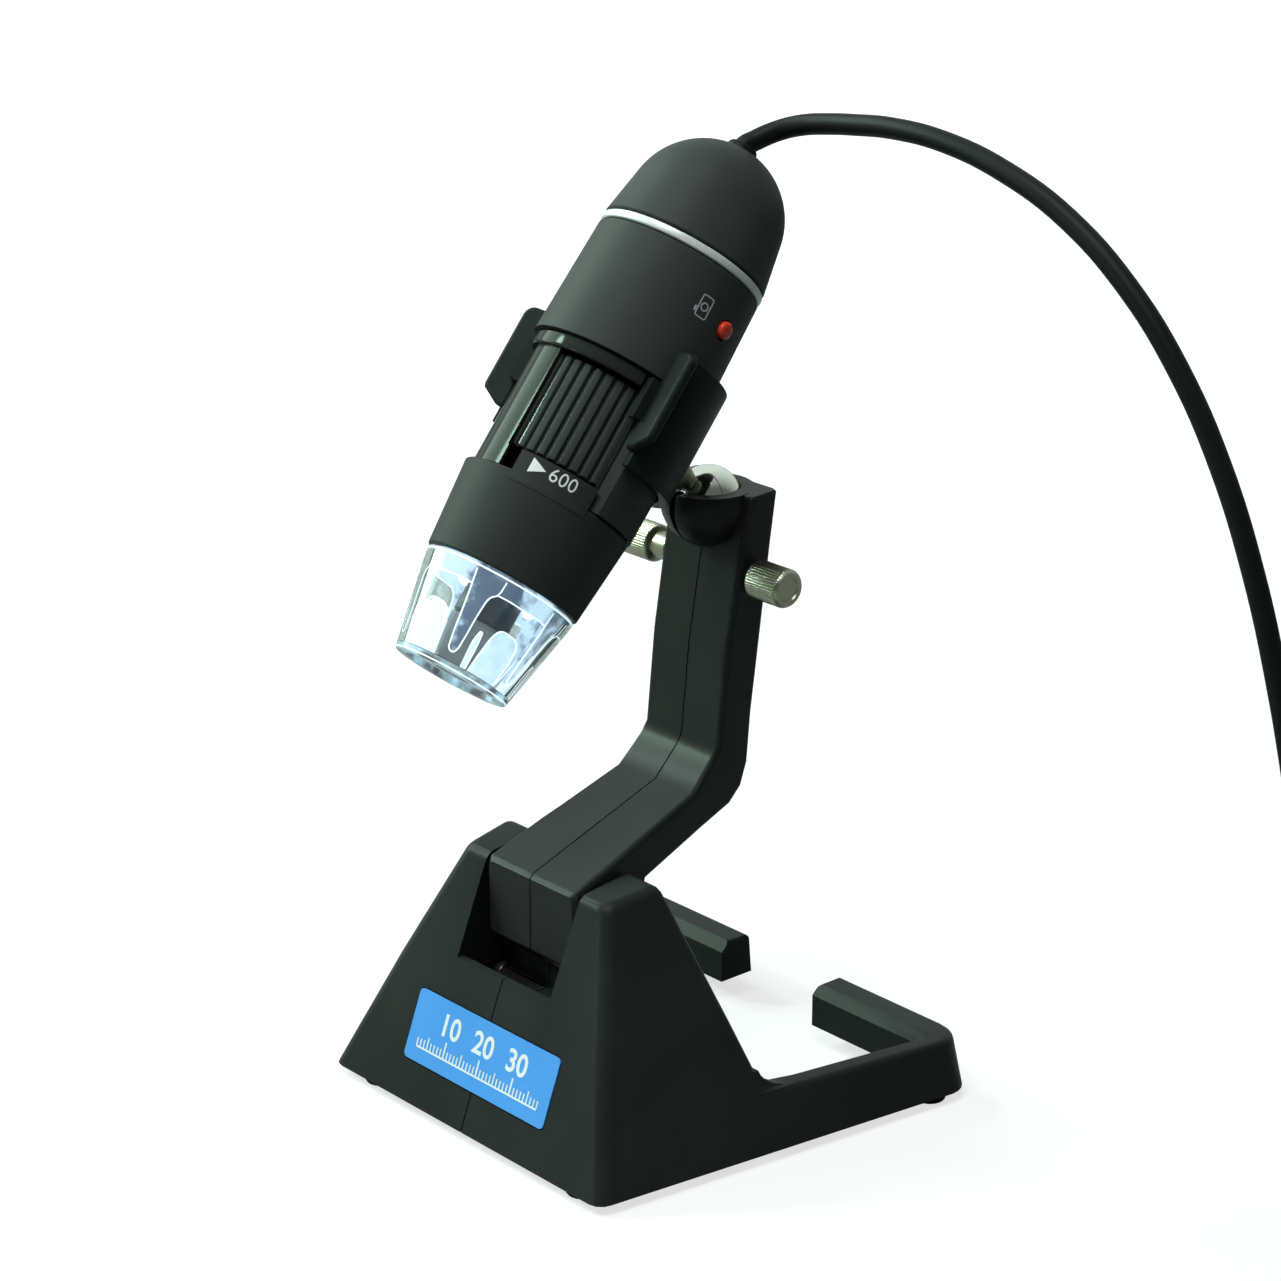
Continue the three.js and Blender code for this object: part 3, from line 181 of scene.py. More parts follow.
def cut(obj, *shapes):
    return combine(obj, shapes, "DIFFERENCE")


def join(obj, *shapes):
    return combine(obj, shapes, "UNION")


def bevelled(obj, width, segments=2, angle=SHARP):
    """Rounds every edge sharper than the angle, by a width in the object's units."""
    bevel = obj.modifiers.new("edge", "BEVEL")
    bevel.width = width
    bevel.segments = segments
    bevel.limit_method = "ANGLE"
    bevel.angle_limit = radians(angle)
    bevel.use_clamp_overlap = True
    bevel.miter_outer = "MITER_ARC"
    return apply_modifiers(obj)


def settle(shape, name, place, material, node=None, body="scope", smooth=SHARP):
    """Sets a finished shape in its place, with its looks, and rides it on its body.

    Where it stands for a CAD node, it rides on that node's body, and the node is hidden.
    """
    obj = as_object(shape)
    obj.name = name
    obj.data.name = name
    obj.data.transform(place)
    shade(obj.data, smooth)
    weigh = obj.modifiers.new("normals", "WEIGHTED_NORMAL")
    weigh.keep_sharp = True
    weigh.weight = FACE_WEIGHT
    apply_modifiers(obj)
    paint(obj, material)
    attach(obj, NODES[node]["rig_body"] if node else body)
    if node:
        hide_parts(node)
    return obj


def dressed(node, name, material, width, tools=()):
    """A copy of a CAD solid with merged faces and rounded edges, standing for it.

    Tools are closed shapes in mm that are cut out of it first.
    """
    bm = bmesh.new()
    bm.from_mesh(NODES[node].data)
    bmesh.ops.remove_doubles(bm, verts=bm.verts, dist=CAD_MERGE)
    bmesh.ops.dissolve_limit(bm, angle_limit=CAD_FLAT, verts=bm.verts, edges=bm.edges)
    bmesh.ops.recalc_face_normals(bm, faces=bm.faces)
    bm.transform(Matrix.Scale(1 / MM, 4))
    obj = bevelled(cut(object_of(bm, name), *tools), width)
    return settle(obj, name, Matrix.Scale(MM, 4), material, node)


def skin(rings, closed):
    """Rings of points, skinned in turn, and either closed on themselves or capped at both ends."""
    bm = bmesh.new()
    made = [[bm.verts.new(point) for point in ring] for ring in rings]
    for one, two in zip(made, made[1:] + made[:1] if closed else made[1:]):
        for i in range(len(one)):
            j = (i + 1) % len(one)
            bm.faces.new((one[i], one[j], two[j], two[i]))
    if not closed:
        bm.faces.new(list(reversed(made[0])))
        bm.faces.new(made[-1])
    return bm


def layered(levels, closed=False):
    """Outlines in x and y, each at its own z, skinned in turn."""
    return skin([[(x, y, z) for x, y in outline] for outline, z in levels], closed)


def lathe(profile, segments=BROAD, low=0.0, high=FULL):
    """A closed profile of (radius, z) turned about z, from a low to a high angle."""
    full = high - low >= FULL
    steps = segments if full else max(2, round(segments * (high - low) / FULL))
    rings = []
    for i in range(steps if full else steps + 1):
        a = radians(low + (high - low) * i / steps)
        rings.append([(*polar(r, a), z) for r, z in profile])
    return skin(rings, full)


def band(inner, outer, start, end):
    """A ring's plain profile."""
    return [(inner, start), (outer, start), (outer, end), (inner, end)]


def sector(inner, outer, low, high, start, end, segments=BROAD):
    return lathe(band(inner, outer, start, end), segments, low, high)


def prism(points, low, high):
    """A flat outline in x and y, drawn out along z."""
    return layered([(points, low), (points, high)])


def brick(x0, x1, y0, y1, z0, z1):
    return prism([(x0, y0), (x1, y0), (x1, y1), (x0, y1)], z0, z1)


def rounded(width, height, corner, steps=5):
    """The outline of a rectangle with round corners."""
    points = []
    for sx, sy, start in ((1, -1, -90), (1, 1, 0), (-1, 1, 90), (-1, -1, 180)):
        for i in range(steps + 1):
            a = radians(start + 90 * i / steps)
            points.append((sx * (width / 2 - corner) + corner * cos(a),
                           sy * (height / 2 - corner) + corner * sin(a)))
    return points


def moved(bm, x, y, z):
    bm.transform(Matrix.Translation((x, y, z)))
    return bm


def added(first, *others):
    """Several bmeshes in one."""
    for other in others:
        mesh = bpy.data.meshes.new("part")
        other.to_mesh(mesh)
        other.free()
        first.from_mesh(mesh)
        bpy.data.meshes.remove(mesh)
    return first


def wire(name, points, radius, rounds, steps):
    """A round wire, with a radius in mm, through points of the row frame."""
    data = bpy.data.curves.new(name, "CURVE")
    data.dimensions = "3D"
    data.bevel_depth = radius * MM
    data.bevel_resolution = rounds
    data.resolution_u = steps
    data.use_fill_caps = True
    spline = data.splines.new("BEZIER")
    spline.bezier_points.add(len(points) - 1)
    for knot, point in zip(spline.bezier_points, points):
        knot.co = point
        knot.handle_left_type = "AUTO"
        knot.handle_right_type = "AUTO"
    return link(bpy.data.objects.new(name, data))


def give(tree, node, inputs):
    """Sets a shader node's inputs, each to a value or to the socket that feeds it."""
    for key, value in inputs.items():
        if isinstance(value, bpy.types.NodeSocket):
            tree.links.new(value, node.inputs[key])
        else:
            node.inputs[key].default_value = value
    return node


def add_node(tree, kind, inputs, operation=None):
    node = tree.nodes.new("ShaderNode" + kind)
    if operation:
        node.operation = operation
    return give(tree, node, inputs)


# Camera
VIEW_AZIMUTH = radians(48.73)
VIEW_ELEVATION = radians(19.79)
VIEW_DISTANCE = 681.95
VIEW_TARGET = (0.0, 45.51, 90.47)
VIEW_NEAREST = 0.01
SENSOR = 36.0
FOCAL_PIXELS, PHOTO_PIXELS = 3600.0, 1281.0

camera_data = bpy.data.cameras.new("view_camera")
camera_data.sensor_width = SENSOR
camera_data.lens = SENSOR * FOCAL_PIXELS / PHOTO_PIXELS
camera_data.clip_start = VIEW_NEAREST
camera = link(bpy.data.objects.new("view_camera", camera_data))
bpy.context.scene.camera = camera
towards = Vector((
    cos(VIEW_ELEVATION) * sin(VIEW_AZIMUTH),
    -cos(VIEW_ELEVATION) * cos(VIEW_AZIMUTH),
    sin(VIEW_ELEVATION),
))
camera.location = row(*VIEW_TARGET) + towards * VIEW_DISTANCE * MM
camera.rotation_euler = (-towards).to_track_quat("-Z", "Y").to_euler()

# Materials: every one has its grain, and slow patches of colour and roughness
BUMP_DEPTH = 0.0002
PATCH_SCALE, PATCH_DETAIL, PATCH_SPAN = 60.0, 4.0, (0.35, 0.65)
CLEAR_SCALE, CLEAR_BUMP, CLEAR_ROUGHER, CLEAR_SPAN = 220.0, 0.05, 1.8, (0.72, 0.98)
GLOW_ROUGH, GLOW_BUMP, GLOW_PATCH_SCALE, GLOW_DARKER = 0.35, 0.2, 150.0, 0.85


def nodes_of(name):
    material = bpy.data.materials.new(name)
    material.use_nodes = True
    tree = material.node_tree
    return material, tree, tree.nodes["Principled BSDF"]


def spread(tree, factor, low, high):
    """A factor from 0 to 1, laid out from low to high."""
    inputs = {"Value": factor, "To Min": low, "To Max": high}
    return add_node(tree, "MapRange", inputs).outputs["Result"]


def ramp_of(tree, factor, colors, places=(0.0, 1.0)):
    ramp = add_node(tree, "ValToRGB", {"Fac": factor})
    for element, color, place in zip(ramp.color_ramp.elements, colors, places):
        element.position = place
        element.color = (*color, 1.0)
    return ramp


def noise_of(tree, coords, scale, detail):
    inputs = {"Scale": scale, "Detail": detail, "Vector": coords.outputs["Object"]}
    return add_node(tree, "TexNoise", inputs)


def grain(tree, shader, scale, strength, detail=3.0):
    coords = add_node(tree, "TexCoord", {})
    noise = noise_of(tree, coords, scale, detail)
    bump = add_node(tree, "Bump", {
        "Strength": strength, "Distance": BUMP_DEPTH, "Height": noise.outputs["Fac"]})
    give(tree, shader, {"Normal": bump.outputs["Normal"]})
    return coords, noise


def tinted(tree, shader, coords, low, high, scale, rough=None):
    """Slow colour change over the surface, and with it a change of roughness."""
    noise = noise_of(tree, coords, scale, PATCH_DETAIL)
    ramp = ramp_of(tree, noise.outputs["Fac"], (low, high), PATCH_SPAN)
    give(tree, shader, {"Base Color": ramp.outputs["Color"]})
    if rough:
        give(tree, shader, {"Roughness": spread(tree, noise.outputs["Fac"], *rough)})


def moulded(name, low, high, rough, specular, scale=900.0, bump=0.12, metal=0.0):
    material, tree, shader = nodes_of(name)
    give(tree, shader, {"Specular IOR Level": specular, "Metallic": metal})
    coords, _ = grain(tree, shader, scale, bump)
    tinted(tree, shader, coords, low, high, PATCH_SCALE, rough)
    return material


STAND = moulded("stand_plastic", (0.020, 0.023, 0.0215), (0.025, 0.0285, 0.0265), (0.33, 0.42), 0.08)
ARM = moulded("arm_plastic", (0.018, 0.020, 0.018), (0.022, 0.024, 0.022), (0.34, 0.42), 0.15)
TUBE = moulded("tube_plastic", (0.040, 0.045, 0.043), (0.046, 0.052, 0.050), (0.50, 0.58), 0.09,
               scale=1600.0, bump=0.10)
# The lower housing is the tube's plastic made darker: painted shade, as it gets less light than the
# upper housing
LOWER_SHADED = moulded("lower_plastic_shaded", (0.032, 0.036, 0.0345), (0.037, 0.042, 0.040), (0.50, 0.58), 0.08,
                scale=1600.0, bump=0.10)
CLIP = moulded("clip_plastic", (0.012, 0.015, 0.0145), (0.016, 0.020, 0.019), (0.38, 0.46), 0.06)
SLEEVE = moulded("sleeve_plastic", (0.022, 0.027, 0.025), (0.026, 0.032, 0.029), (0.09, 0.12),
                 0.055, scale=500.0, bump=0.01)
GLOSS = moulded("gloss_plastic", (0.052, 0.061, 0.059), (0.059, 0.070, 0.067), (0.12, 0.17), 0.12,
                scale=500.0, bump=0.02)
RUBBER = moulded("foot_rubber", (0.010, 0.010, 0.010), (0.015, 0.015, 0.015), (0.75, 0.9), 0.15)
CORD = moulded("cord_sheath", (0.007, 0.008, 0.0085), (0.010, 0.0115, 0.012), (0.40, 0.50), 0.10)
STEEL = moulded("plain_steel", (0.52, 0.52, 0.50), (0.62, 0.62, 0.60), (0.25, 0.38), 0.5, metal=1.0)
CHROME = moulded("ball_chrome", (0.84, 0.89, 0.78), (0.90, 0.94, 0.84), (0.07, 0.12), 0.5,
                 scale=300.0, bump=0.01, metal=1.0)
NICKEL = moulded("knurled_nickel", (0.32, 0.32, 0.235), (0.39, 0.39, 0.30), (0.28, 0.40), 0.5,
                 metal=1.0)
SILVER = moulded("silver_trim", (0.72, 0.77, 0.75), (0.78, 0.83, 0.81), (0.25, 0.35), 0.5,
                 metal=0.12)
GOLD = moulded("contact_gold", (0.75, 0.55, 0.22), (0.82, 0.62, 0.28), (0.22, 0.32), 0.5,
               metal=1.0)
BLUE = moulded("label_blue", (0.090, 0.355, 0.89), (0.098, 0.38, 0.92), (0.40, 0.50), 0.10)
RED = moulded("button_red", (0.74, 0.045, 0.020), (0.82, 0.055, 0.026), (0.22, 0.32), 0.4)
INK = moulded("white_ink", (0.84, 0.88, 0.88), (0.92, 0.95, 0.95), (0.5, 0.65), 0.2)
INK_GREY = moulded("grey_ink", (0.42, 0.44, 0.46), (0.50, 0.52, 0.54), (0.5, 0.65), 0.2)
BOARD = moulded("board_green", (0.02, 0.16, 0.06), (0.03, 0.20, 0.08), (0.35, 0.5), 0.5)
REFLECTOR = moulded("lamp_board_white", (0.55, 0.62, 0.66), (0.66, 0.72, 0.76), (0.35, 0.5), 0.4)
CHIP = moulded("chip_black", (0.014, 0.014, 0.014), (0.020, 0.020, 0.020), (0.45, 0.6), 0.4)


def clear(name, color, edge, rough, ior):
    """Clear glass or plastic, darker where it is seen along its wall."""
    material, tree, shader = nodes_of(name)
    _, noise = grain(tree, shader, CLEAR_SCALE, CLEAR_BUMP)
    weight = add_node(tree, "LayerWeight", {"Blend": 0.5})
    ramp = ramp_of(tree, weight.outputs["Facing"], (color, edge), CLEAR_SPAN)
    give(tree, shader, {
        "IOR": ior, "Transmission Weight": 1.0, "Base Color": ramp.outputs["Color"],
        "Roughness": spread(tree, noise.outputs["Fac"], rough, rough * CLEAR_ROUGHER)})
    return material


LENS = clear("lens_glass", (0.85, 0.90, 1.0), (0.5, 0.55, 0.65), 0.02, 1.5)
TIP = clear("clear_plastic", (0.90, 0.97, 0.99), (0.58, 0.72, 0.80), 0.03, 1.33)


def glowing(name, base, dark, light, strength, along, start, end, alpha=1.0, scale=320.0,
            patches=0.9, stops=()):
    """A plastic with a glow that fades along a direction, between two distances in mm; except on the
    lamps, the glow is painted light.

    Stops are further shares of the way with how dark the glow is there, from 0 to 1.
    """
    material, tree, shader = nodes_of(name)
    coords, noise = grain(tree, shader, scale, GLOW_BUMP, PATCH_DETAIL)
    tinted(tree, shader, coords, [c * GLOW_DARKER for c in base], base, GLOW_PATCH_SCALE)
    way = add_node(tree, "VectorMath", {0: coords.outputs["Object"], 1: along}, "DOT_PRODUCT")
    swing = (end - start) * MM * patches
    waves = add_node(tree, "Math", {
        0: noise.outputs["Fac"], 1: swing, 2: way.outputs["Value"]}, "MULTIPLY_ADD")
    fade = add_node(tree, "MapRange", {
        "From Min": start * MM + swing / 2, "From Max": end * MM + swing / 2,
        "Value": waves.outputs[0]})
    ramp = ramp_of(tree, fade.outputs["Result"], (light, dark))
    for place, share in stops:
        element = ramp.color_ramp.elements.new(place)
        element.color = (*[d * share + b * (1 - share) for d, b in zip(dark, light)], 1.0)
    give(tree, shader, {
        "Roughness": GLOW_ROUGH, "Alpha": alpha, "Emission Strength": strength,
        "Emission Color": ramp.outputs["Color"]})
    return material


# The guide's painted glow is bright on its left and again on its right, with painted shade in its
# middle between them
GUIDE_TURN, GUIDE_HALF = radians(49.0), 13.0
GUIDE_ACROSS = Vector(ACROSS) * cos(GUIDE_TURN) - Vector(FRONT) * sin(GUIDE_TURN)
GUIDE_MIDDLE = GUIDE_ACROSS.dot(row(*TUBE_TOP)) / MM
GUIDE_STOPS = ((0.24, 0.0), (0.36, 0.95), (0.66, 0.95), (0.74, 0.05), (0.85, 0.1), (0.92, 0.7))
GUIDE_GLOW = glowing("guide_painted_glow", (0.09, 0.12, 0.17), (0.03, 0.055, 0.10), (0.62, 0.84, 1.0), 0.88,
                GUIDE_ACROSS, GUIDE_MIDDLE - GUIDE_HALF, GUIDE_MIDDLE + GUIDE_HALF,
                alpha=0.82, scale=420.0, patches=0.55, stops=GUIDE_STOPS)
# Bright white painted glow on the guide's tongues, for the lamps' light inside the tip
BRIGHT_GLOW = glowing("guide_bright", (0.35, 0.42, 0.50), (0.30, 0.48, 0.66), (0.80, 0.98, 1.0),
                       0.95, ACROSS, 6.0, 15.0, alpha=0.85, scale=300.0, patches=1.5)
# Painted glow on the guide's edges, which stands in for their highlights
EDGE_LIGHT = glowing("guide_edge", (0.80, 0.90, 0.95), (0.70, 0.85, 0.92), (0.85, 0.97, 1.0), 0.95,
                     ACROSS, 9.0, 14.0)
# The snout is black, with painted glow near its root for the lamps' light, fading towards its end
SNOUT = glowing("snout_black", (0.016, 0.020, 0.024), (0.001, 0.003, 0.006), (0.06, 0.11, 0.18),
                0.8, (0.0, 0.0, -1.0), -116.0, -111.5)
# Patchy painted glow on the lip's ring, for light from the lamps
LIP = glowing("lip_glow", (0.06, 0.07, 0.08), (0.07, 0.065, 0.07), (0.50, 0.85, 1.0), 0.9,
              (0.0, 0.0, 0.0), -1.0, 1.0, scale=260.0, patches=4.5)
# A grey, glowing, half-clear sheet round the snout: painted reflection for the grey that the tip
# shows in its middle
PAINTED_REFLECTION = glowing("painted_grey_reflection", (0.12, 0.13, 0.13), (0.09, 0.10, 0.10), (0.16, 0.19, 0.20), 0.6,
                ACROSS, -6.0, 6.0, alpha=0.6)
LAMP = glowing("lamp_white", (0.95, 0.98, 1.0), (0.70, 0.90, 1.0), (0.90, 1.0, 1.0), 4.0,
               ACROSS, -12.0, 12.0)

BY_SLOT = {
    "stand_plastic": STAND, "tube_plastic": TUBE, "gloss_plastic": GLOSS, "steel": STEEL,
    "ball_chrome": CHROME, "nickel": NICKEL, "silver_trim": SILVER, "label_blue": BLUE,
    "foot_rubber": RUBBER, "clear_plastic": TIP, "lens_glass": LENS, "lamp_white": LAMP,
    "button_red": RED, "board_green": BOARD, "chip_black": CHIP, "cord_black": CORD,
    "plug_metal": STEEL,
}
SLOT_OF = {item["node"]: item["material_slot"] for item in frame["record"]["subparts"]}
for node, slot_name in SLOT_OF.items():
    paint(NODES[node], BY_SLOT[slot_name])

# Cord
CORD_RADIUS = 2.0
CORD_ROOT = 4.6  # how deep it starts inside the dome
CORD_ROUTE = [
    (0, 69.17, 179.43), (0, 70.95, 181.6), (0.55, 73.2, 182.55), (2.96, 76.9, 184.3),
    (7.1, 78.8, 185.7), (13.15, 79.8, 186.73), (20.05, 80.2, 187.56),
    (28.57, 80.4, 188.3), (42, 80.5, 187.9), (57, 80.6, 184.9), (72, 80.8, 179),
    (86, 81, 169.6), (98, 81.2, 157.4), (108, 81.5, 142.6), (116, 81.9, 125.6),
    (122.3, 82.4, 107), (127.3, 83, 87.6), (131.8, 83.7, 67.8), (136.6, 84.5, 48.2),
    (142.6, 85.4, 29.6), (151, 86.4, 14.2), (162, 87.2, 5), (174, 87.8, 2.35),
]
COIL_CENTRE = (195.0, 57.0)
COIL_OUTER = 31.0
COIL_PITCH = 4.6
COIL_TURNS, COIL_LAST, COIL_CLIMB = 8, 0.25, 0.5  # in turns
COIL_TAIL = [(227.5, 52, 6.6), (228.4, 46.5, 5.9), (229.4, 40.5, 4.6)]
PER_TURN = 24


def coil_point(turn):
    """The coil winds inwards on the table, climbs one layer and winds outwards again."""
    half = COIL_TURNS / 2
    radius = COIL_OUTER - COIL_PITCH * half + COIL_PITCH * abs(turn - half)
    climb = min(max((turn - half) / COIL_CLIMB + 0.5, 0.0), 1.0)
    angle = pi / 2 - 2 * pi * turn
    return (
        COIL_CENTRE[0] + radius * cos(angle),
        COIL_CENTRE[1] + radius * sin(angle),
        CORD_RADIUS + COIL_PITCH * climb,
    )


cord_points = [row(*TUBE_TOP) + Vector(DOWN) * CORD_ROOT * MM]
cord_points += [row(*point) for point in CORD_ROUTE]
coil_count = int((COIL_TURNS + COIL_LAST) * PER_TURN)
cord_points += [row(*coil_point(i / PER_TURN)) for i in range(coil_count + 1)]
cord_points += [row(*point) for point in COIL_TAIL]
cord = paint(wire("cord", cord_points, CORD_RADIUS, rounds=5, steps=6), CORD)
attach(cord, "scope")
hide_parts("cord_run", "cord_coil")

# Tube: profiles are points of (radius, s), where s is the distance down from the dome's top
TUBE_PLACE = axes(ACROSS, FRONT, DOWN, TUBE_TOP)
INSIDE, OUTSIDE = 10, 20  # radii inside and outside every shell, for cuts


def on_tube(shape, name, material, node=None, smooth=SHARP):
    return settle(shape, name, TUBE_PLACE, material, node, smooth=smooth)


def dome_profile():
    """The dome's wall, from the cord's hole to its foot."""
    radius, blend, wall, hole = 15.14, 12.6, 1.8, 3.5
    foot_radius, foot, edge, draft = 16.6, 22.5, 0.3, 0.02
    steps = 24
    start = asin(hole / radius)
    end = acos(1 - blend / radius)
    outer, inner = [], []
    for i in range(steps + 1):
        a = start + (end - start) * i / steps
        out, drop = polar(radius, a)
        outer.append((out, radius - drop))
        out, drop = polar(radius - wall, a)
        inner.append((max(hole, out), radius - drop))
    return (outer + [(foot_radius - draft, foot - edge), (foot_radius - edge, foot),
                     (foot_radius - wall, foot)] + inner[::-1])


RING_PROFILE = [(14.4, 22.8), (16.35, 22.8), (16.6, 23.0), (16.68, 23.3), (16.68, 23.9),
                (16.6, 24.2), (16.35, 24.4), (14.4, 24.4)]
on_tube(lathe(dome_profile()), "dome_shell", TUBE, "dome_cap")
on_tube(lathe(RING_PROFILE), "trim_ring", SILVER, "silver_ring")

# Upper housing: the shell's front is cut back, its rear runs on to the lower housing
UPPER_START, UPPER_WIDEST, UPPER_END = 24.7, 48.1, 75.0
UPPER_TOP, UPPER_WIDE, UPPER_FOOT = 16.6, 17.37, 17.1  # outer radii at these places
UPPER_BORE, REAR_BORE = 15.05, 15.8
UPPER_EDGE, UPPER_BEVEL = 0.25, 0.22
STEP_START, STEP_END = 40.1, 44.1  # where the bore widens
RECESS_TURN, RECESS_RADIUS = 73.5, 16.2
CUT_END = 78.0


def slope_cutter():
    """What the slanted sides take away, as a ring sector with slanted ends."""
    low_radius, high_radius, far_radius, high_turn = 15.6, 17.6, 19.0, 81.6
    far_half, far = 9.0, 24.0
    steps = 60
    ends = ((-RECESS_TURN, low_radius), (-high_turn, high_radius), (-high_turn, far_radius))
    left = [polar(r, radians(a)) for a, r in ends]
    right = [(-x, y) for x, y in reversed(left)]
    arc = [polar(low_radius, radians(-RECESS_TURN + 2 * RECESS_TURN * i / steps))
           for i in range(1, steps)]
    return prism(left[::-1] + arc + right[::-1] + [(far_half, far), (-far_half, far)],
                 UPPER_WIDEST, CUT_END)


# Snap button: its own profiles are points of (radius, distance from the tube's axis)
BUTTON_TURN, BUTTON_S, BUTTON_SEGMENTS = radians(98.0), 33.7, 40
BUTTON_HOLE, HOLE_FLOOR, HOLE_TOP = 2.0, 14, 19
BUTTON_PROFILE = [(0, 13.95), (2.5, 13.95), (2.5, 14.65), (1.7, 14.65), (1.7, 17.25),
                  (1.64, 17.5), (1.45, 17.72), (1.1, 17.88), (0.6, 17.97), (0, 18.0)]


def radial_axes(angle):
    """Directions outwards and sideways at an angle round the tube."""
    return (sin(angle), cos(angle), 0.0), (cos(angle), -sin(angle), 0.0)


def button_shape(profile):
    """A profile turned about the snap button's axis, in the tube's own axes."""
    bm = lathe(profile, BUTTON_SEGMENTS)
    out, side = radial_axes(BUTTON_TURN)
    bm.transform(Matrix((side, (0, 0, 1), out)).transposed().to_4x4())
    return moved(bm, 0, 0, BUTTON_S)


upper = loose(lathe([
    (UPPER_BORE, UPPER_START), (UPPER_TOP - UPPER_EDGE, UPPER_START),
    (UPPER_TOP, UPPER_START + UPPER_EDGE), (UPPER_WIDE, UPPER_WIDEST), (UPPER_FOOT, UPPER_END),
    (REAR_BORE, UPPER_END), (REAR_BORE, STEP_END), (UPPER_BORE, STEP_START)], FINE))
cut(upper, slope_cutter(),
    sector(0, RECESS_RADIUS, -RECESS_TURN, RECESS_TURN, UPPER_WIDEST, CUT_END, FINE),
    button_shape(band(0, BUTTON_HOLE, HOLE_FLOOR, HOLE_TOP)))
bevelled(upper, UPPER_BEVEL)
on_tube(upper, "upper_shell", TUBE, "upper_housing")

# Inner sleeve, its collar, the window over the wheel and the deep notch below it
SLEEVE_BORE, SLEEVE_RADIUS, SLEEVE_START, SLEEVE_BEVEL = 14.8, 15.5, 44.4, 0.30
COLLAR_TURN, COLLAR_RADIUS, COLLAR_START, COLLAR_END = 77, 16.5, 48.4, 51.0
COLLAR_PROFILE = [(15.15, COLLAR_START), (16.2, COLLAR_START), (COLLAR_RADIUS, 48.7),
                  (COLLAR_RADIUS, 50.5), (16.3, COLLAR_END), (15.15, COLLAR_END)]
# The collar is thinned between these angles, to make room for the hooks
THINNED_TURN, THINNED_END, THINNED_START = 64, 79, 48.7
WINDOW_LOW, WINDOW_HIGH, WINDOW_END = 1.5, 73, 71
DEEP_LOW, DEEP_HIGH, DEEP_START = 3, 18, 70

sleeve = loose(lathe(band(SLEEVE_BORE, SLEEVE_RADIUS, SLEEVE_START, UPPER_END), FINER))
collar = loose(lathe(COLLAR_PROFILE, FINER, -COLLAR_TURN, COLLAR_TURN))
for low, high in ((THINNED_TURN, THINNED_END), (-THINNED_END, -THINNED_TURN)):
    cut(collar, sector(REAR_BORE, OUTSIDE, low, high, THINNED_START, COLLAR_END + OVERRUN))
join(sleeve, collar)
cut(sleeve, sector(INSIDE, OUTSIDE, WINDOW_LOW, WINDOW_HIGH, COLLAR_END, WINDOW_END, FINER),
    sector(INSIDE, OUTSIDE, DEEP_LOW, DEEP_HIGH, DEEP_START, CUT_END, FINER))
bevelled(sleeve, SLEEVE_BEVEL, 3)
on_tube(sleeve, "sleeve_shell", SLEEVE, "inner_sleeve")

# Lower housing, with the tongue that carries the pointer
LOWER_START, LOWER_END, LOWER_BEVEL = 75.3, 92.4, 0.16
TONGUE_RADIUS, TONGUE_START, TONGUE_END, TONGUE_HIGH = 16.79, 71.2, 77.0, 72.6
LOWER_PROFILE = [(15.4, LOWER_START), (16.5, LOWER_START), (TONGUE_RADIUS, 75.6), (15.36, 92.15),
                 (15.1, LOWER_END), (13.95, LOWER_END)]

lower = loose(lathe(LOWER_PROFILE, FINE))
join(lower, sector(REAR_BORE, TONGUE_RADIUS, DEEP_HIGH, TONGUE_HIGH, TONGUE_START, TONGUE_END,
                   FINE))
bevelled(lower, LOWER_BEVEL)
on_tube(lower, "lower_shell", LOWER_SHADED, "lower_housing")

# Focus wheel: broad ribs with round shoulders and narrow grooves between them
WHEEL_RIBS, WHEEL_TURN = 40, radians(-0.7)
WHEEL_RADIUS, WHEEL_BORE, WHEEL_START, WHEEL_END = 14.5, 11.7, 51.6, 70.4
GROOVE_DEPTH, WHEEL_EDGE = 0.8, 0.35
SIDE_RADIUS, SIDE_GROOVE_DEPTH = 14.2, 0.6
RIB_SHAPE = ((-0.38, 0.0), (-0.35, 0.6), (-0.30, 0.88), (-0.23, 1.0), (0.0, 1.0), (0.23, 1.0),
             (0.30, 0.88), (0.35, 0.6), (0.38, 0.0), (0.5, -0.1))  # shares of pitch and depth


def wheel_outline(radius, depth):
    points = []
    for i in range(WHEEL_RIBS):
        for part, rise in RIB_SHAPE:
            a = 2 * pi * (i + part) / WHEEL_RIBS + WHEEL_TURN
            points.append(polar(radius - depth * (1 - rise), a))
    return points


def wheel():
    outer = wheel_outline(WHEEL_RADIUS, GROOVE_DEPTH)
    tight = wheel_outline(SIDE_RADIUS, SIDE_GROOVE_DEPTH)
    bore = wheel_outline(WHEEL_BORE, 0.0)
    return layered([
        (bore, WHEEL_START), (tight, WHEEL_START), (outer, WHEEL_START + WHEEL_EDGE),
        (outer, WHEEL_END - WHEEL_EDGE), (tight, WHEEL_END), (bore, WHEEL_END)], True)


on_tube(wheel(), "ribbed_wheel", GLOSS, "focus_wheel", ROUND_SHARP)
on_tube(button_shape(BUTTON_PROFILE), "snap_cap", RED, "snap_button")

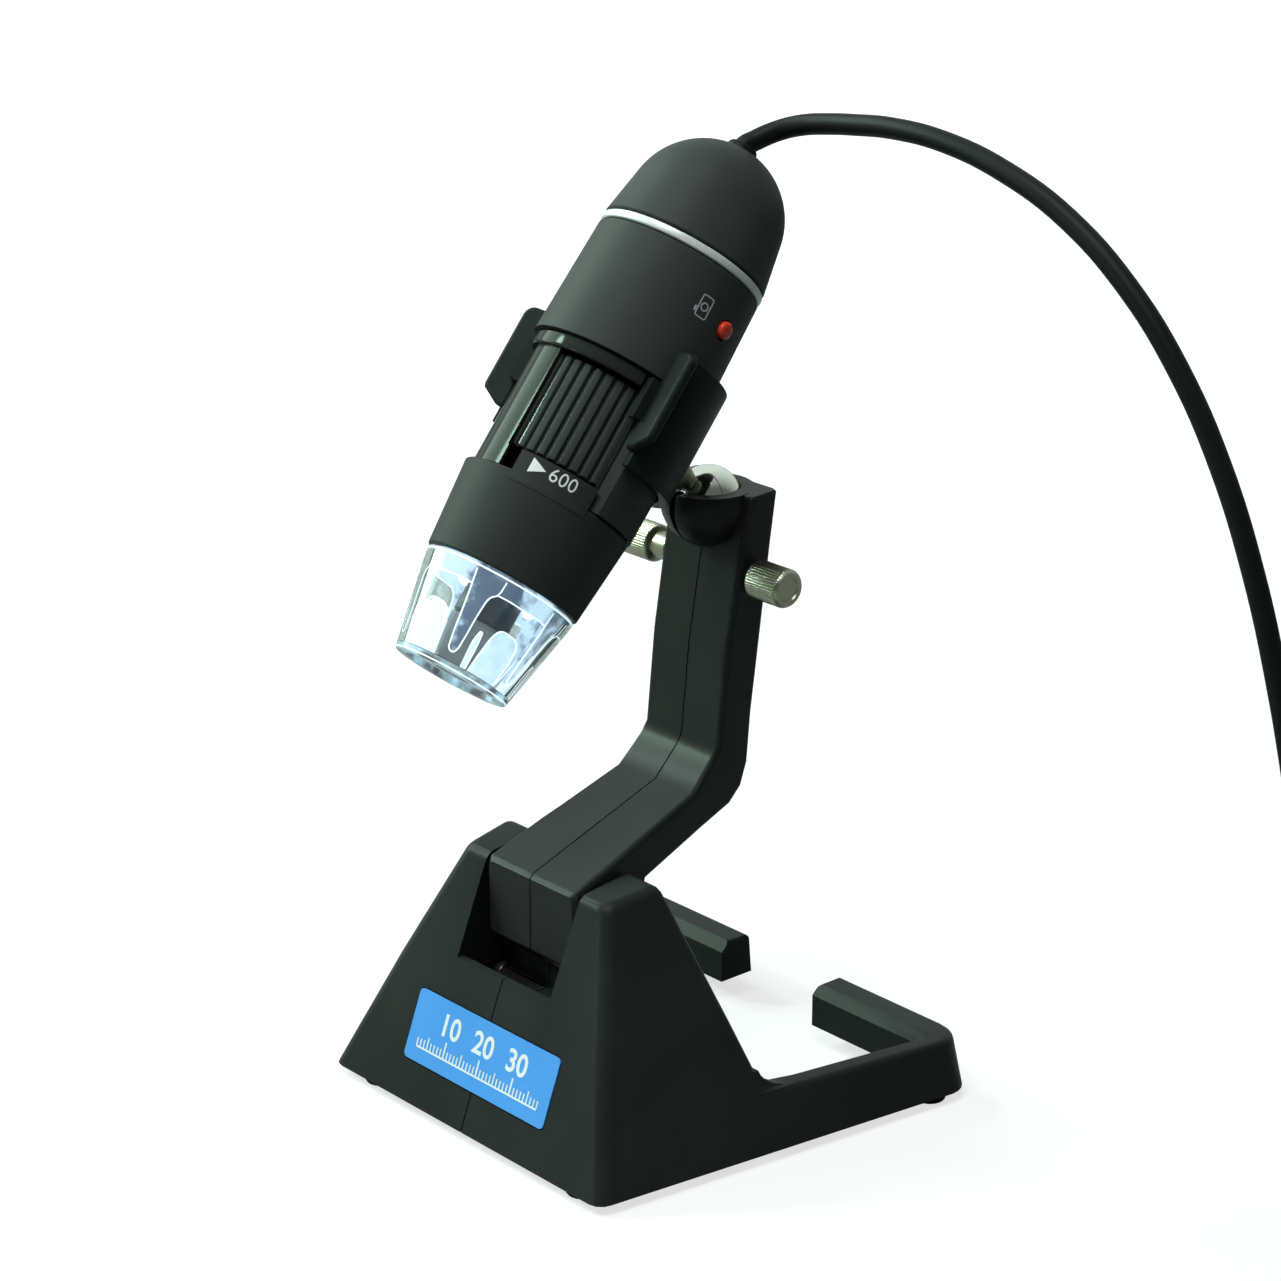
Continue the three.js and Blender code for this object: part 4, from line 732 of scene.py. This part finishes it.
# Clip: an open band with two ears, two hooks over the housing and a boss for the stud
CLIP_BORE, CLIP_RADIUS, CLIP_START, CLIP_END = 17.65, 19.65, 42.2, 65.3
CLIP_OPEN, CLIP_BEVEL = 76, 0.25
EAR_TURN, EAR_THICK, EAR_BEVEL = 74.5, 2.0, 0.9
EAR_ROOT, EAR_OUT, EAR_CORNER = 17.9, 24.5, 2.2
EAR_FOOT = [(EAR_OUT, 59.2), (24.2, 60.0), (20.3, 62.2), (EAR_ROOT, 62.6)]
HOOK_REACH, HOOK_BEND, HOOK_ROOT = 66.0, 72.0, 78.0  # angles round the tube
HOOK_TIP, HOOK_SEAT, HOOK_OUTER, HOOK_START, HOOK_END = 16.1, 17.66, 19.2, 49.0, 57.0
HOOK_BEVEL = 0.4
BOSS_S, BOSS_SEGMENTS = 55.9, 64
BOSS_PROFILE = [(0, 18.5), (5.5, 18.5), (5.5, 20.9), (5.15, 21.25), (0, 21.25)]
STUD_HOLE = band(0, 1.5, 16.0, 24.0)


def ear_outline():
    corner = []
    for turn in (0, 18, 36, 54, 72, 90):
        across, along = polar(EAR_CORNER, radians(turn))
        corner.append((EAR_OUT - EAR_CORNER + across, CLIP_START + EAR_CORNER - along))
    return [(EAR_ROOT, CLIP_START)] + corner + EAR_FOOT


def radial_plate(outline, angle, thickness):
    """A plate that stands out from the tube, from an outline in radius and s."""
    bm = prism(outline, -thickness / 2, thickness / 2)
    out, side = radial_axes(radians(angle))
    bm.transform(Matrix((out, (0, 0, 1), side)).transposed().to_4x4())
    return bm


def hook_part(side, start, end, inner):
    low, high = sorted((side * start, side * end))
    return sector(inner, HOOK_OUTER, low, high, HOOK_START, HOOK_END, FINER)


def rearward(profile, segments):
    """A profile turned about the stud's axis, which leaves the tube at its back."""
    bm = lathe(profile, segments)
    bm.transform(Matrix.Rotation(radians(90.0), 4, "X"))
    return moved(bm, 0, 0, BOSS_S)


clip = loose(sector(CLIP_BORE, CLIP_RADIUS, CLIP_OPEN, FULL - CLIP_OPEN, CLIP_START, CLIP_END,
                    FINER))
bevelled(clip, CLIP_BEVEL, 3)
for side in (1, -1):
    ear = loose(radial_plate(ear_outline(), side * EAR_TURN, EAR_THICK))
    bevelled(ear, EAR_BEVEL, 5, ROUND_SHARP)
    hook = loose(hook_part(side, HOOK_REACH, HOOK_BEND, HOOK_TIP))
    join(hook, hook_part(side, HOOK_BEND - OVERRUN, HOOK_ROOT, HOOK_SEAT))
    bevelled(hook, HOOK_BEVEL, 3)
    join(clip, ear, hook)
join(clip, rearward(BOSS_PROFILE, BOSS_SEGMENTS))
cut(clip, rearward(STUD_HOLE, SMALL))
on_tube(clip, "spring_clip", CLIP, "clip", HIGH_SHARP)

# Ball, its stud, and the thumb screws through the arm
UPRIGHT = (ACROSS, (0, 1, 0), (0, 0, 1))
BALL_CENTRE, BALL_RADIUS = (0.0, 62.6, 115.2), 6.5
BALL_FLAT = [(0, -5.9), (1.1, -5.9), (1.3, -6.37)]  # where the stud leaves it
BALL_SWEEP, BALL_STEPS = radians(168.0), 48
SCREW_BEVEL = 0.12


def ball_profile():
    arc = [polar(BALL_RADIUS, BALL_SWEEP * (1 - step / BALL_STEPS))
           for step in range(1, BALL_STEPS)]
    return BALL_FLAT + arc + [(0, BALL_RADIUS)]


settle(lathe(ball_profile(), LARGE), "chrome_ball", axes(*UPRIGHT, BALL_CENTRE), CHROME,
       "steel_ball", smooth=ROUNDER_SHARP)
dressed("ball_stud", "neck_stud", NICKEL, SCREW_BEVEL)

KNOB_LENGTH, KNOB_RADIUS, KNOB_TEETH, KNURL_DEPTH = 8.7, 3.8, 44, 0.17
KNURL_SHAPE = (0.0, 0.6, 1.0, 0.6)  # shares of the knurl's depth round one tooth
# Rows of distance from the head's foot, inset, and whether the row is knurled
KNOB_ROWS = ((0.0, 0.55, 0), (0.28, 0.18, 0), (0.5, 0.0, 1), (KNOB_LENGTH - 0.75, 0.0, 1),
             (KNOB_LENGTH - 0.45, 0.2, 0), (KNOB_LENGTH, 0.6, 0))
KNOB_RECESS = ((KNOB_LENGTH, 2.35), (KNOB_LENGTH - 0.25, 2.2), (KNOB_LENGTH - 0.25, 0.0), (0, 0))


def knob_head(start):
    """A knurled head from a start along z, with a turned end and a shallow recess."""
    dips = KNURL_SHAPE * KNOB_TEETH
    turn = 2 * pi / len(dips)
    levels = []
    for z, inset, knurl in KNOB_ROWS:
        outline = [polar(KNOB_RADIUS - inset - dip * KNURL_DEPTH * knurl, turn * i)
                   for i, dip in enumerate(dips)]
        levels.append((outline, z))
    for z, radius in KNOB_RECESS:
        levels.append(([polar(radius, turn * i) for i in range(len(dips))], z))
    return moved(layered(levels, True), 0, 0, start)


KNOB_CENTRE = (0.0, 64.2, 101.8)
RIGHT_PLACE = axes((0, 1, 0), (0, 0, 1), ACROSS, KNOB_CENTRE)
LEFT_PLACE = axes((0, 0, 1), (0, 1, 0), (-1, 0, 0), KNOB_CENTRE)
RIGHT_HEAD, LEFT_HEAD = 12.3, 15.8
SHANK_PROFILE = [(0, -18.7), (1.3, -18.7), (1.6, -18.3), (1.6, 12.4), (0, 12.4)]
NECK_PROFILE = [(1.9, 11.6), (2.55, 11.6), (2.7, 11.75), (2.7, 15.9), (1.9, 15.9)]

settle(added(knob_head(RIGHT_HEAD), lathe(SHANK_PROFILE, SMALL)), "thumb_screw", RIGHT_PLACE,
       NICKEL, "right_thumb_screw", smooth=HIGH_SHARP)
settle(added(knob_head(LEFT_HEAD), lathe(NECK_PROFILE, MEDIUM)), "thumb_nut", LEFT_PLACE, NICKEL,
       "left_thumb_nut", smooth=HIGH_SHARP)

# Stand: both halves of the base and of the arm, with their moulded edges rounded
# The notch opens into the hollow stand behind a thin front wall, down to the upper screw
NOTCH_HALF, OPENING_FRONT, OPENING_BACK = 13.7, 12.3, 22.4
OPENING_LOW, NOTCH_FLOOR = 25.5, 30.5
BASE_BEVEL, ARM_BEVEL = 0.22, 0.16
for side, low, high in (("right", -OVERRUN, NOTCH_HALF), ("left", -NOTCH_HALF, OVERRUN)):
    opening = brick(low, high, OPENING_FRONT + SHIFT_Y, OPENING_BACK + SHIFT_Y, OPENING_LOW,
                    NOTCH_FLOOR + OVERRUN)
    dressed(f"base_{side}_half", f"base_{side}", STAND, BASE_BEVEL, (opening,))
    dressed(f"arm_{side}_half", f"arm_{side}", ARM, ARM_BEVEL)
for node in ("base_screw_front", "base_screw_rear", "base_screw_upper", "arm_screw_lower",
             "arm_screw_upper", "hinge_pin"):
    dressed(node, node.replace("_screw", "_fixing").replace("hinge_pin", "pivot_pin"), STEEL,
            SCREW_BEVEL)

FOOT_PROFILE = [(0, 0.25), (1.6, 0.25), (1.8, 0.0), (2.5, 0.0), (3.0, 0.15), (3.22, 0.45),
                (3.3, 0.9), (3.3, 3.0), (0, 3.0)]
for node in [name for name in NODES if name.startswith("foot_")]:
    low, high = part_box(node)
    x, y = [(low[i] + high[i]) / 2 / MM for i in range(2)]
    place = axes(*UPRIGHT, (x, y - SHIFT_Y, low[2] / MM))
    settle(lathe(FOOT_PROFILE, MEDIUM), node.replace("foot_", "rubber_"), place, RUBBER, node)

# Label: a plate with a ruler's ticks and plain numbers
LEAN = radians(20.54)
LABEL_RISE, LABEL_DROP = 16.1, 2.0
LABEL_WIDTH, LABEL_HEIGHT, LABEL_CORNER, LABEL_BEVEL = 41.9, 13.9, 1.0, 0.06
LABEL_BACK, LABEL_FACE = -0.3, 0.15
INK_LOW, INK_HIGH = -0.03, 0.035
TEXT_SIZE = 1.45  # the font's size for digits of height 1
RULER_HALF, RULER_LOW, RULER_TOP, TICK_FOOT = 18, -4.15, -3.80, -3.85
SHORT_TICK, MIDDLE_TICK, LONG_TICK = 1.6, 2.4, 3.2
THIN_TICK, THICK_TICK = 0.15, 0.20
NUMBER_HEIGHT, NUMBER_Y, NUMBER_BOLD = 4.2, 2.1, 0.11
LABEL_PLACE = axes(ACROSS, (0, sin(LEAN), cos(LEAN)), (0, -cos(LEAN), sin(LEAN)),
                   (0, (LABEL_RISE - LABEL_DROP) * tan(LEAN), LABEL_RISE))
plate = loose(prism(rounded(LABEL_WIDTH, LABEL_HEIGHT, LABEL_CORNER), LABEL_BACK, LABEL_FACE))
bevelled(plate, LABEL_BEVEL, angle=ROUND_SHARP)
settle(plate, "label", LABEL_PLACE, BLUE, "label_plate")


def numerals(text, height, spacing=1.0, bold=0.0):
    """Plain upright digits as a flat inked shape, centred on the origin."""
    data = bpy.data.curves.new("digits", "FONT")
    data.body = text
    data.size = height * TEXT_SIZE
    data.align_x = "CENTER"
    data.align_y = "CENTER"
    data.space_character = spacing
    data.offset = bold
    data.extrude = (INK_HIGH - INK_LOW) / 2
    bm = bmesh_of(link(bpy.data.objects.new("digits", data)))
    bmesh.ops.triangulate(bm, faces=bm.faces)
    bmesh.ops.remove_doubles(bm, verts=bm.verts, dist=10 * MERGE)
    return moved(bm, 0, 0, (INK_HIGH + INK_LOW) / 2)


def tick(index):
    """One of the ruler's ticks: long ones stand under the numbers."""
    x = index - RULER_HALF
    rise = LONG_TICK if x % 10 == 0 else MIDDLE_TICK if x % 5 == 0 else SHORT_TICK
    half = THICK_TICK if rise == LONG_TICK else THIN_TICK
    return brick(x - half, x + half, TICK_FOOT, TICK_FOOT + rise, INK_LOW, INK_HIGH)


def label_marks():
    marks = [brick(-RULER_HALF, RULER_HALF, RULER_LOW, RULER_TOP, INK_LOW, INK_HIGH)]
    marks += [tick(index) for index in range(2 * RULER_HALF + 1)]
    for text, x in (("10", -10.0), ("20", 0.0), ("30", 10.0)):
        number = numerals(text, NUMBER_HEIGHT, bold=NUMBER_BOLD)
        marks.append(moved(number, x, NUMBER_Y, 0))
    return moved(added(*marks), 0, 0, LABEL_FACE)


def ink(bm, name, place=TUBE_PLACE, material=INK, body="scope"):
    bmesh.ops.recalc_face_normals(bm, faces=bm.faces)
    return settle(object_of(bm, name), name, place, material, None, body)


ink(label_marks(), "label_scale", LABEL_PLACE, body="base")

# Pointer and number on the tongue, and the button's picture: flat shapes laid round the tube
MARK_S, POINTER_TURN, NUMBER_TURN = 73.15, 32.6, 50.5
SCALE_HEIGHT, SCALE_SPACING = 2.5, 1.05
POINTER = [(-1.45, -1.45), (1.75, 0.0), (-1.45, 1.45)]
PICTURE_S, PICTURE_TURN, PICTURE_LINE = 32.6, 75.5, 0.26
UPPER_SLOPE = 0.033
PICTURE_RADIUS = UPPER_TOP + (UPPER_WIDE - UPPER_TOP) * (PICTURE_S - UPPER_START) / (
    UPPER_WIDEST - UPPER_START)


def split_long(bm, longest=0.6):
    """Cuts long edges, so that the shape can follow the tube's round."""
    for _ in range(4):
        edges = [e for e in bm.edges if e.calc_length() > longest]
        if not edges:
            break
        bmesh.ops.subdivide_edges(bm, edges=edges, cuts=1)
        bmesh.ops.triangulate(bm, faces=bm.faces)
    return bm


def wrapped(bm, radius, s, angle, slope=0.0):
    """Lays a flat inked shape on the tube, with its top towards the dome."""
    for v in bm.verts:
        along = -v.co.y
        a = radians(angle) + v.co.x / radius
        v.co = (*polar(radius + v.co.z + slope * along, a), s + along)
    return bm


def frame_outline(width, height, corner, line):
    """A rectangle's outline of a given line width."""
    outer = rounded(width, height, corner)
    inner = rounded(width - 2 * line, height - 2 * line, max(corner - line, 0.05))
    return layered([(outer, INK_LOW), (outer, INK_HIGH), (inner, INK_HIGH), (inner, INK_LOW)],
                   True)


def button_picture():
    """A plain picture of a camera on its side: its case, its lens and its release."""
    case = frame_outline(4.4, 2.7, 0.5, PICTURE_LINE)
    lens = frame_outline(1.7, 1.7, 0.84, PICTURE_LINE)
    release = brick(-1.5, -0.5, 1.45, 1.85, INK_LOW, INK_HIGH)
    picture = split_long(added(case, lens, release))
    picture.transform(Matrix.Rotation(radians(90.0), 4, "Z"))
    return picture


ink(wrapped(split_long(prism(POINTER, INK_LOW, INK_HIGH)), TONGUE_RADIUS, MARK_S, POINTER_TURN),
    "pointer")
ink(wrapped(split_long(numerals("600", SCALE_HEIGHT, SCALE_SPACING)), TONGUE_RADIUS, MARK_S,
            NUMBER_TURN), "scale_number")
ink(wrapped(button_picture(), PICTURE_RADIUS, PICTURE_S, PICTURE_TURN, UPPER_SLOPE),
    "button_mark", material=INK_GREY)

# Clear tip: a thick-walled cone with a lip, and inside it the light guide, lamps and lens snout
TIP_TOP, TIP_END = 92.7, 112.0
TIP_WIDE, TIP_NARROW = 15.1, 11.3
TIP_PROFILE = [(13.8, TIP_TOP), (14.9, TIP_TOP), (TIP_WIDE, 92.95), (11.42, 111.6),
               (TIP_NARROW, 111.85), (11.05, TIP_END), (9.1, TIP_END), (8.9, 111.8),
               (8.9, 110.6), (9.1, 110.4), (10.2, 110.4), (13.55, 93.4)]
on_tube(lathe(TIP_PROFILE, FINE), "tip_shell", TIP, "clear_tip", LOW_SHARP)


def tip_radius(s):
    return TIP_WIDE - (s - TIP_TOP) * (TIP_WIDE - TIP_NARROW) / (TIP_END - TIP_TOP)


def behind_tip(shape, name, material, smooth=LOW_SHARP):
    """A piece that stands for no solid, seen through the clear tip."""
    return on_tube(shape, name, material, None, smooth)


# Light guide: outlines on the cone are points of (angle, s) for the first of the fingers
FINGERS = 5
GUIDE_INSET, GUIDE_THICK, WIDEST_STEP = 1.75, 0.55, 4.0
LINE_INSET, LINE_RADIUS, POST_LINE_RADIUS = 1.45, 0.13, 0.11
FINGER = [(26.0, 93.6), (28.2, 98.6), (32.0, 107.4), (33.6, 108.4), (38.0, 108.7), (40.6, 108.2),
          (42.0, 106.4), (43.4, 100.0), (45.6, 97.2), (49.5, 96.3), (51.0, 93.6)]
TONGUE = [(60.0, 110.3), (61.2, 106.8), (63.6, 102.8), (67.0, 101.5), (76.0, 101.3),
          (86.0, 101.9), (90.6, 104.2), (92.2, 110.3)]
POST = [(51.6, 110.3), (50.9, 104.0), (53.0, 103.2), (54.6, 104.2), (56.6, 110.3)]
BETWEEN = [(49.5, 96.3), (60.0, 96.2), (74.0, 96.3), (90.0, 96.2), (98.0, 96.4)]
CROWN_PROFILE = [(13.05, 91.7), (13.6, 91.7), (13.55, 93.1), (12.75, 96.2), (12.25, 96.2),
                 (13.05, 93.1)]
# Thin rings at the tip's rim and top, bright with painted glow
RIM_LINE = [(11.14, 111.5), (11.32, 111.5), (11.30, 111.7), (11.14, 111.7)]
TOP_LINE = [(14.5, 93.0), (14.8, 93.0), (14.74, 93.25), (14.5, 93.25)]


def cone_plate(outline):
    """A plate inside the cone, as a closed shape."""
    bm = prism(outline, 0.0, GUIDE_THICK)
    bmesh.ops.triangulate(bm, faces=bm.faces)
    for _ in range(3):
        edges = [e for e in bm.edges
                 if abs(e.verts[0].co.x - e.verts[1].co.x) > WIDEST_STEP
                 or abs(e.verts[0].co.y - e.verts[1].co.y) > WIDEST_STEP]
        if edges:
            bmesh.ops.subdivide_edges(bm, edges=edges, cuts=1)
            bmesh.ops.triangulate(bm, faces=bm.faces)
    for v in bm.verts:
        radius = tip_radius(v.co.y) - GUIDE_INSET - v.co.z
        v.co = (*polar(radius, radians(v.co.x)), v.co.y)
    return bm


def edge_line(outline, radius):
    """A moulded edge along an outline on the cone's inner face, bright with painted glow as its
    highlight.
    """
    points = [TUBE_PLACE @ Vector((*polar(tip_radius(s) - LINE_INSET, radians(angle)), s))
              for angle, s in outline]
    bm = bmesh_of(wire("edge", points, radius, rounds=2, steps=4))
    bm.transform(TUBE_PLACE.inverted())
    return bm


finger_parts, tongue_parts, line_parts = [], [], []
for index in range(FINGERS):
    turn = FULL / FINGERS * index
    finger, tongue, post, between = [[(angle + turn, s) for angle, s in outline]
                                     for outline in (FINGER, TONGUE, POST, BETWEEN)]
    finger_parts.append(cone_plate(finger))
    tongue_parts += [cone_plate(tongue), cone_plate(post)]
    line_parts += [edge_line(outline, LINE_RADIUS) for outline in (finger, between, tongue)]
    line_parts.append(edge_line(post, POST_LINE_RADIUS))
line_parts += [lathe(RIM_LINE, FINE), lathe(TOP_LINE, FINE)]
# The crown, fingers and tongues of the light guide carry painted glow
behind_tip(lathe(CROWN_PROFILE, FINE), "guide_crown", GUIDE_GLOW)
behind_tip(added(*finger_parts), "guide_fingers", GUIDE_GLOW)
behind_tip(added(*tongue_parts), "guide_tongues", BRIGHT_GLOW)
behind_tip(added(*line_parts), "guide_edges", EDGE_LIGHT, smooth=ROUNDER_SHARP)

# Lens snout with its small window and a grey sheet of painted reflection, the lip's painted glow,
# lamps and their board
LIP_PROFILE = [(9.2, 110.75), (11.0, 110.75), (10.95, 111.8), (9.2, 111.8)]
SNOUT_PROFILE = [(4.3, 91.9), (5.9, 91.9), (6.1, 92.2), (6.1, 94.4), (5.5, 95.0), (5.5, 100.3),
                 (5.2, 100.7), (4.6, 100.8), (3.6, 99.9), (3.4, 99.6), (3.4, 92.4)]
WINDOW_PROFILE = [(0, 98.9), (1.8, 98.98), (3.3, 99.25), (3.35, 99.6), (3.35, 97.9), (0, 97.9)]
REFLECTION_PROFILE = [(5.2, 101.0), (5.5, 101.0), (5.2, 111.0), (4.9, 111.0)]
BOARD_PROFILE = [(6.6, 90.2), (13.6, 90.2), (13.65, 90.3), (13.65, 91.3), (13.6, 91.4),
                 (6.6, 91.4)]
LAMPS, LAMP_CIRCLE = 8, 9.5
LAMP_PROFILE = [(0, 91.7), (1.5, 91.7), (1.5, 92.3), (1.36, 92.35), (1.36, 93.7), (1.28, 94.2),
                (1.08, 94.65), (0.78, 94.95), (0.4, 95.13), (0, 95.2)]
GROMMET_PROFILE = [(2.02, -0.9), (2.6, -0.9), (2.8, -0.7), (3.0, -0.2), (3.1, 0.2), (3.1, 2.4),
                   (4.6, 2.4), (4.6, 3.4), (2.3, 3.4), (2.3, 2.0), (2.02, 1.0)]

behind_tip(lathe(LIP_PROFILE), "guide_lip", LIP)
behind_tip(lathe(SNOUT_PROFILE, LARGE), "lens_snout", SNOUT)
behind_tip(lathe(WINDOW_PROFILE, MEDIUM), "snout_lens", LENS)
for index in range(LAMPS):
    bulb = moved(lathe(LAMP_PROFILE, TINY),
                 *polar(LAMP_CIRCLE, radians(FULL * index / LAMPS)), 0)
    on_tube(bulb, f"lamp_{index + 1}", LAMP, f"led_{index + 1}", HIGH_SHARP)
on_tube(lathe(BOARD_PROFILE), "lamp_board", REFLECTOR, "led_board", LOW_SHARP)
grommet = on_tube(lathe(GROMMET_PROFILE, MEDIUM), "cord_collar", CORD, "cord_grommet", HIGH_SHARP)
# The grey sheet of painted reflection round the snout
behind_tip(lathe(REFLECTION_PROFILE, LARGE), "snout_reflection_sheet", PAINTED_REFLECTION)

# Plug at the cord's far end: z runs from its grip to its tip
PLUG_PLACE = axes(ACROSS, (0, 0, 1), (0, -1, 0), (229.4, 39.8, 4.3))
GRIP_WIDTH, GRIP_HEIGHT, GRIP_CORNER = 15.6, 8.6, 2.6
RIB_START, RIB_PITCH, RIB_COUNT, RIB_DEPTH = 11.6, 2.2, 5, 0.7
SHELL_WIDTH, SHELL_HEIGHT, SHELL_WALL, SHELL_START, SHELL_END = 12.0, 4.5, 0.35, 28.3, 46.9
SHELL_CORNER, MOUTH_CORNER, SHELL_FLOOR = 0.45, 0.25, 1.0
HOLE_X, HOLE_HALF, HOLE_START, HOLE_END = 2.6, 1.1, 38.6, 41.2
SHELL_BEVEL, TONGUE_BEVEL = 0.08, 0.12
PLUG_TONGUE = (-5.5, 5.5, -1.85, 0.05, 29.4, 46.2)
CONTACT_X, CONTACT_HALF, CONTACT = (-3.5, -1.2, 1.2, 3.5), 0.5, (0.02, 0.14, 34.0, 45.6)


def grip_levels():
    """Rows of place, share of the grip's size and depth, with pressed rings between them."""
    rows = [(0.0, 0.54, 0), (0.4, 0.57, 0), (2.6, 0.60, 0), (5.2, 0.66, 0), (7.0, 0.84, 0),
            (8.4, 0.965, 0), (9.8, 1.0, 0)]
    for index in range(RIB_COUNT):
        start = RIB_START + RIB_PITCH * index
        rows += [(start, 1.0, 0), (start + 0.3, 1.0, RIB_DEPTH), (start + 0.9, 1.0, RIB_DEPTH),
                 (start + 1.2, 1.0, 0)]
    rows += [(26.8, 1.0, 0), (27.6, 0.985, 0), (28.0, 0.95, 0)]
    return [(rounded(GRIP_WIDTH * share - press, GRIP_HEIGHT * share - press,
                     GRIP_CORNER * share, 6), z) for z, share, press in rows]


def on_plug(shape, name, material, node=None):
    return settle(shape, name, PLUG_PLACE, material, node, smooth=LOW_SHARP)


grip = on_plug(layered(grip_levels()), "plug_body", CORD, "plug_grip")
metal = loose(prism(rounded(SHELL_WIDTH, SHELL_HEIGHT, SHELL_CORNER, 4), SHELL_START, SHELL_END))
cut(metal, prism(rounded(SHELL_WIDTH - 2 * SHELL_WALL, SHELL_HEIGHT - 2 * SHELL_WALL,
                         MOUTH_CORNER, 3), SHELL_START + SHELL_FLOOR, SHELL_END + OVERRUN))
for x in (-HOLE_X, HOLE_X):
    for low, high in ((1.0, 3.0), (-3.0, -1.0)):
        cut(metal, brick(x - HOLE_HALF, x + HOLE_HALF, low, high, HOLE_START, HOLE_END))
bevelled(metal, SHELL_BEVEL, 1)
on_plug(metal, "plug_metal_shell", STEEL, "plug_shell")
tongue_block = bevelled(loose(brick(*PLUG_TONGUE)), TONGUE_BEVEL)
on_plug(tongue_block, "plug_tongue", CHIP)
contacts = [brick(x - CONTACT_HALF, x + CONTACT_HALF, *CONTACT) for x in CONTACT_X]
pins = on_plug(added(*contacts), "plug_contacts", GOLD)

# Stage: the floor and the world are pale for camera, glossy and transmission rays only
SPAN = 6.0
FLOOR_DIM, FLOOR_PALE = (0.10, 0.105, 0.105, 1.0), (0.36, 0.36, 0.36, 1.0)
LIFT_NEAR, LIFT_FAR, LIFT_LOW, LIFT_GLOSS = 0.25, 1.0, 0.70, 0.02
SOFT, SOFT_COLOR = 0.12, (0.93, 1.0, 0.98, 1.0)
GLOW_COLOR, GLOW_SIDE = (0.90, 1.0, 0.96, 1.0), Vector((-0.80, 0.35, 0.48)).normalized()
GLOW_FROM, GLOW_TO, GLOW_LOW, GLOW_HIGH = -0.2, 0.85, 0.12, 0.78
WHITE = (1.0, 1.0, 1.0, 1.0)


def emptied(tree, output):
    tree.nodes.clear()
    return tree.nodes.new("ShaderNodeOutput" + output)


def either(tree, one, two):
    return add_node(tree, "Math", {0: one, 1: two}, "MAXIMUM").outputs[0]


def mixed(tree, factor, one, two):
    return add_node(tree, "MixShader", {"Fac": factor, 1: one.outputs[0], 2: two.outputs[0]})


def background(tree, color, strength):
    return add_node(tree, "Background", {"Color": color, "Strength": strength})


def floor_look():
    """Pale and lifted where rays show the backdrop, so that only the shadow stays on it."""
    material = bpy.data.materials.new("floor_pale")
    material.use_nodes = True
    tree = material.node_tree
    out = emptied(tree, "Material")
    rays = add_node(tree, "LightPath", {}).outputs
    place = add_node(tree, "TexCoord", {})
    reach = add_node(tree, "VectorMath", {0: place.outputs["Object"]}, "LENGTH")
    near = add_node(tree, "MapRange", {
        "Value": reach.outputs["Value"], "From Min": LIFT_NEAR, "From Max": LIFT_FAR,
        "To Min": LIFT_LOW})
    strength = spread(tree, rays["Is Glossy Ray"], near.outputs["Result"], LIFT_GLOSS)
    lift = add_node(tree, "Emission", {"Strength": strength})
    dim = add_node(tree, "BsdfDiffuse", {"Color": FLOOR_DIM})
    pale = add_node(tree, "BsdfDiffuse", {"Color": FLOOR_PALE})
    both = add_node(tree, "AddShader", {0: pale.outputs[0], 1: lift.outputs[0]})
    shown = either(tree, either(tree, rays["Is Camera Ray"], rays["Is Glossy Ray"]),
                   rays["Is Transmission Ray"])
    give(tree, out, {"Surface": mixed(tree, shown, dim, both).outputs[0]})
    return material


def studio(tree):
    """Soft light; gloss sees it white towards the back and left, dimmer towards the right."""
    out = emptied(tree, "World")
    rays = add_node(tree, "LightPath", {}).outputs
    coords = add_node(tree, "TexCoord", {})
    side = add_node(tree, "VectorMath", {0: coords.outputs["Generated"], 1: GLOW_SIDE},
                    "DOT_PRODUCT")
    fade = add_node(tree, "MapRange", {
        "Value": side.outputs["Value"], "From Min": GLOW_FROM, "From Max": GLOW_TO,
        "To Min": GLOW_LOW, "To Max": GLOW_HIGH})
    glow = background(tree, GLOW_COLOR, fade.outputs["Result"])
    lit = mixed(tree, rays["Is Glossy Ray"], background(tree, SOFT_COLOR, SOFT), glow)
    shown = either(tree, rays["Is Camera Ray"], rays["Is Transmission Ray"])
    white = background(tree, WHITE, 1.0)
    give(tree, out, {"Surface": mixed(tree, shown, lit, white).outputs[0]})


plane = bmesh.new()
bmesh.ops.create_grid(plane, x_segments=1, y_segments=1, size=SPAN)
floor = object_of(plane, "floor")
paint(floor, floor_look())
world = bpy.data.worlds.new("studio")
bpy.context.scene.world = world
world.use_nodes = True
studio(world.node_tree)

# Lamps of the studio, all at one distance in metres from the object's middle
LIT_CENTRE = row(0, 45, 95)
LIT_DISTANCE = 1.2


def area_light(name, direction, size, power, color):
    data = bpy.data.lights.new(name, "AREA")
    data.shape = "DISK"
    data.size = size
    data.energy = power
    data.color = color
    obj = link(bpy.data.objects.new(name, data))
    direction = Vector(direction).normalized()
    obj.location = LIT_CENTRE + direction * LIT_DISTANCE
    obj.rotation_euler = (-direction).to_track_quat("-Z", "Y").to_euler()


area_light("left", (-0.90, -0.25, 0.35), 0.70, 7.0, (0.72, 1.0, 0.83))
area_light("key", (-0.70, -0.47, 0.54), 0.19, 6.0, (0.68, 1.0, 0.83))
area_light("slope", (-0.72, -0.10, 0.69), 0.24, 3.5, (0.78, 1.0, 0.92))
area_light("low", (-0.38, -0.90, 0.22), 0.16, 1.2, (0.92, 1.0, 0.98))
area_light("front", (0.08, -0.30, 0.95), 0.80, 11.0, (0.95, 1.0, 1.0))

bpy.context.scene.view_settings.view_transform = "Standard"
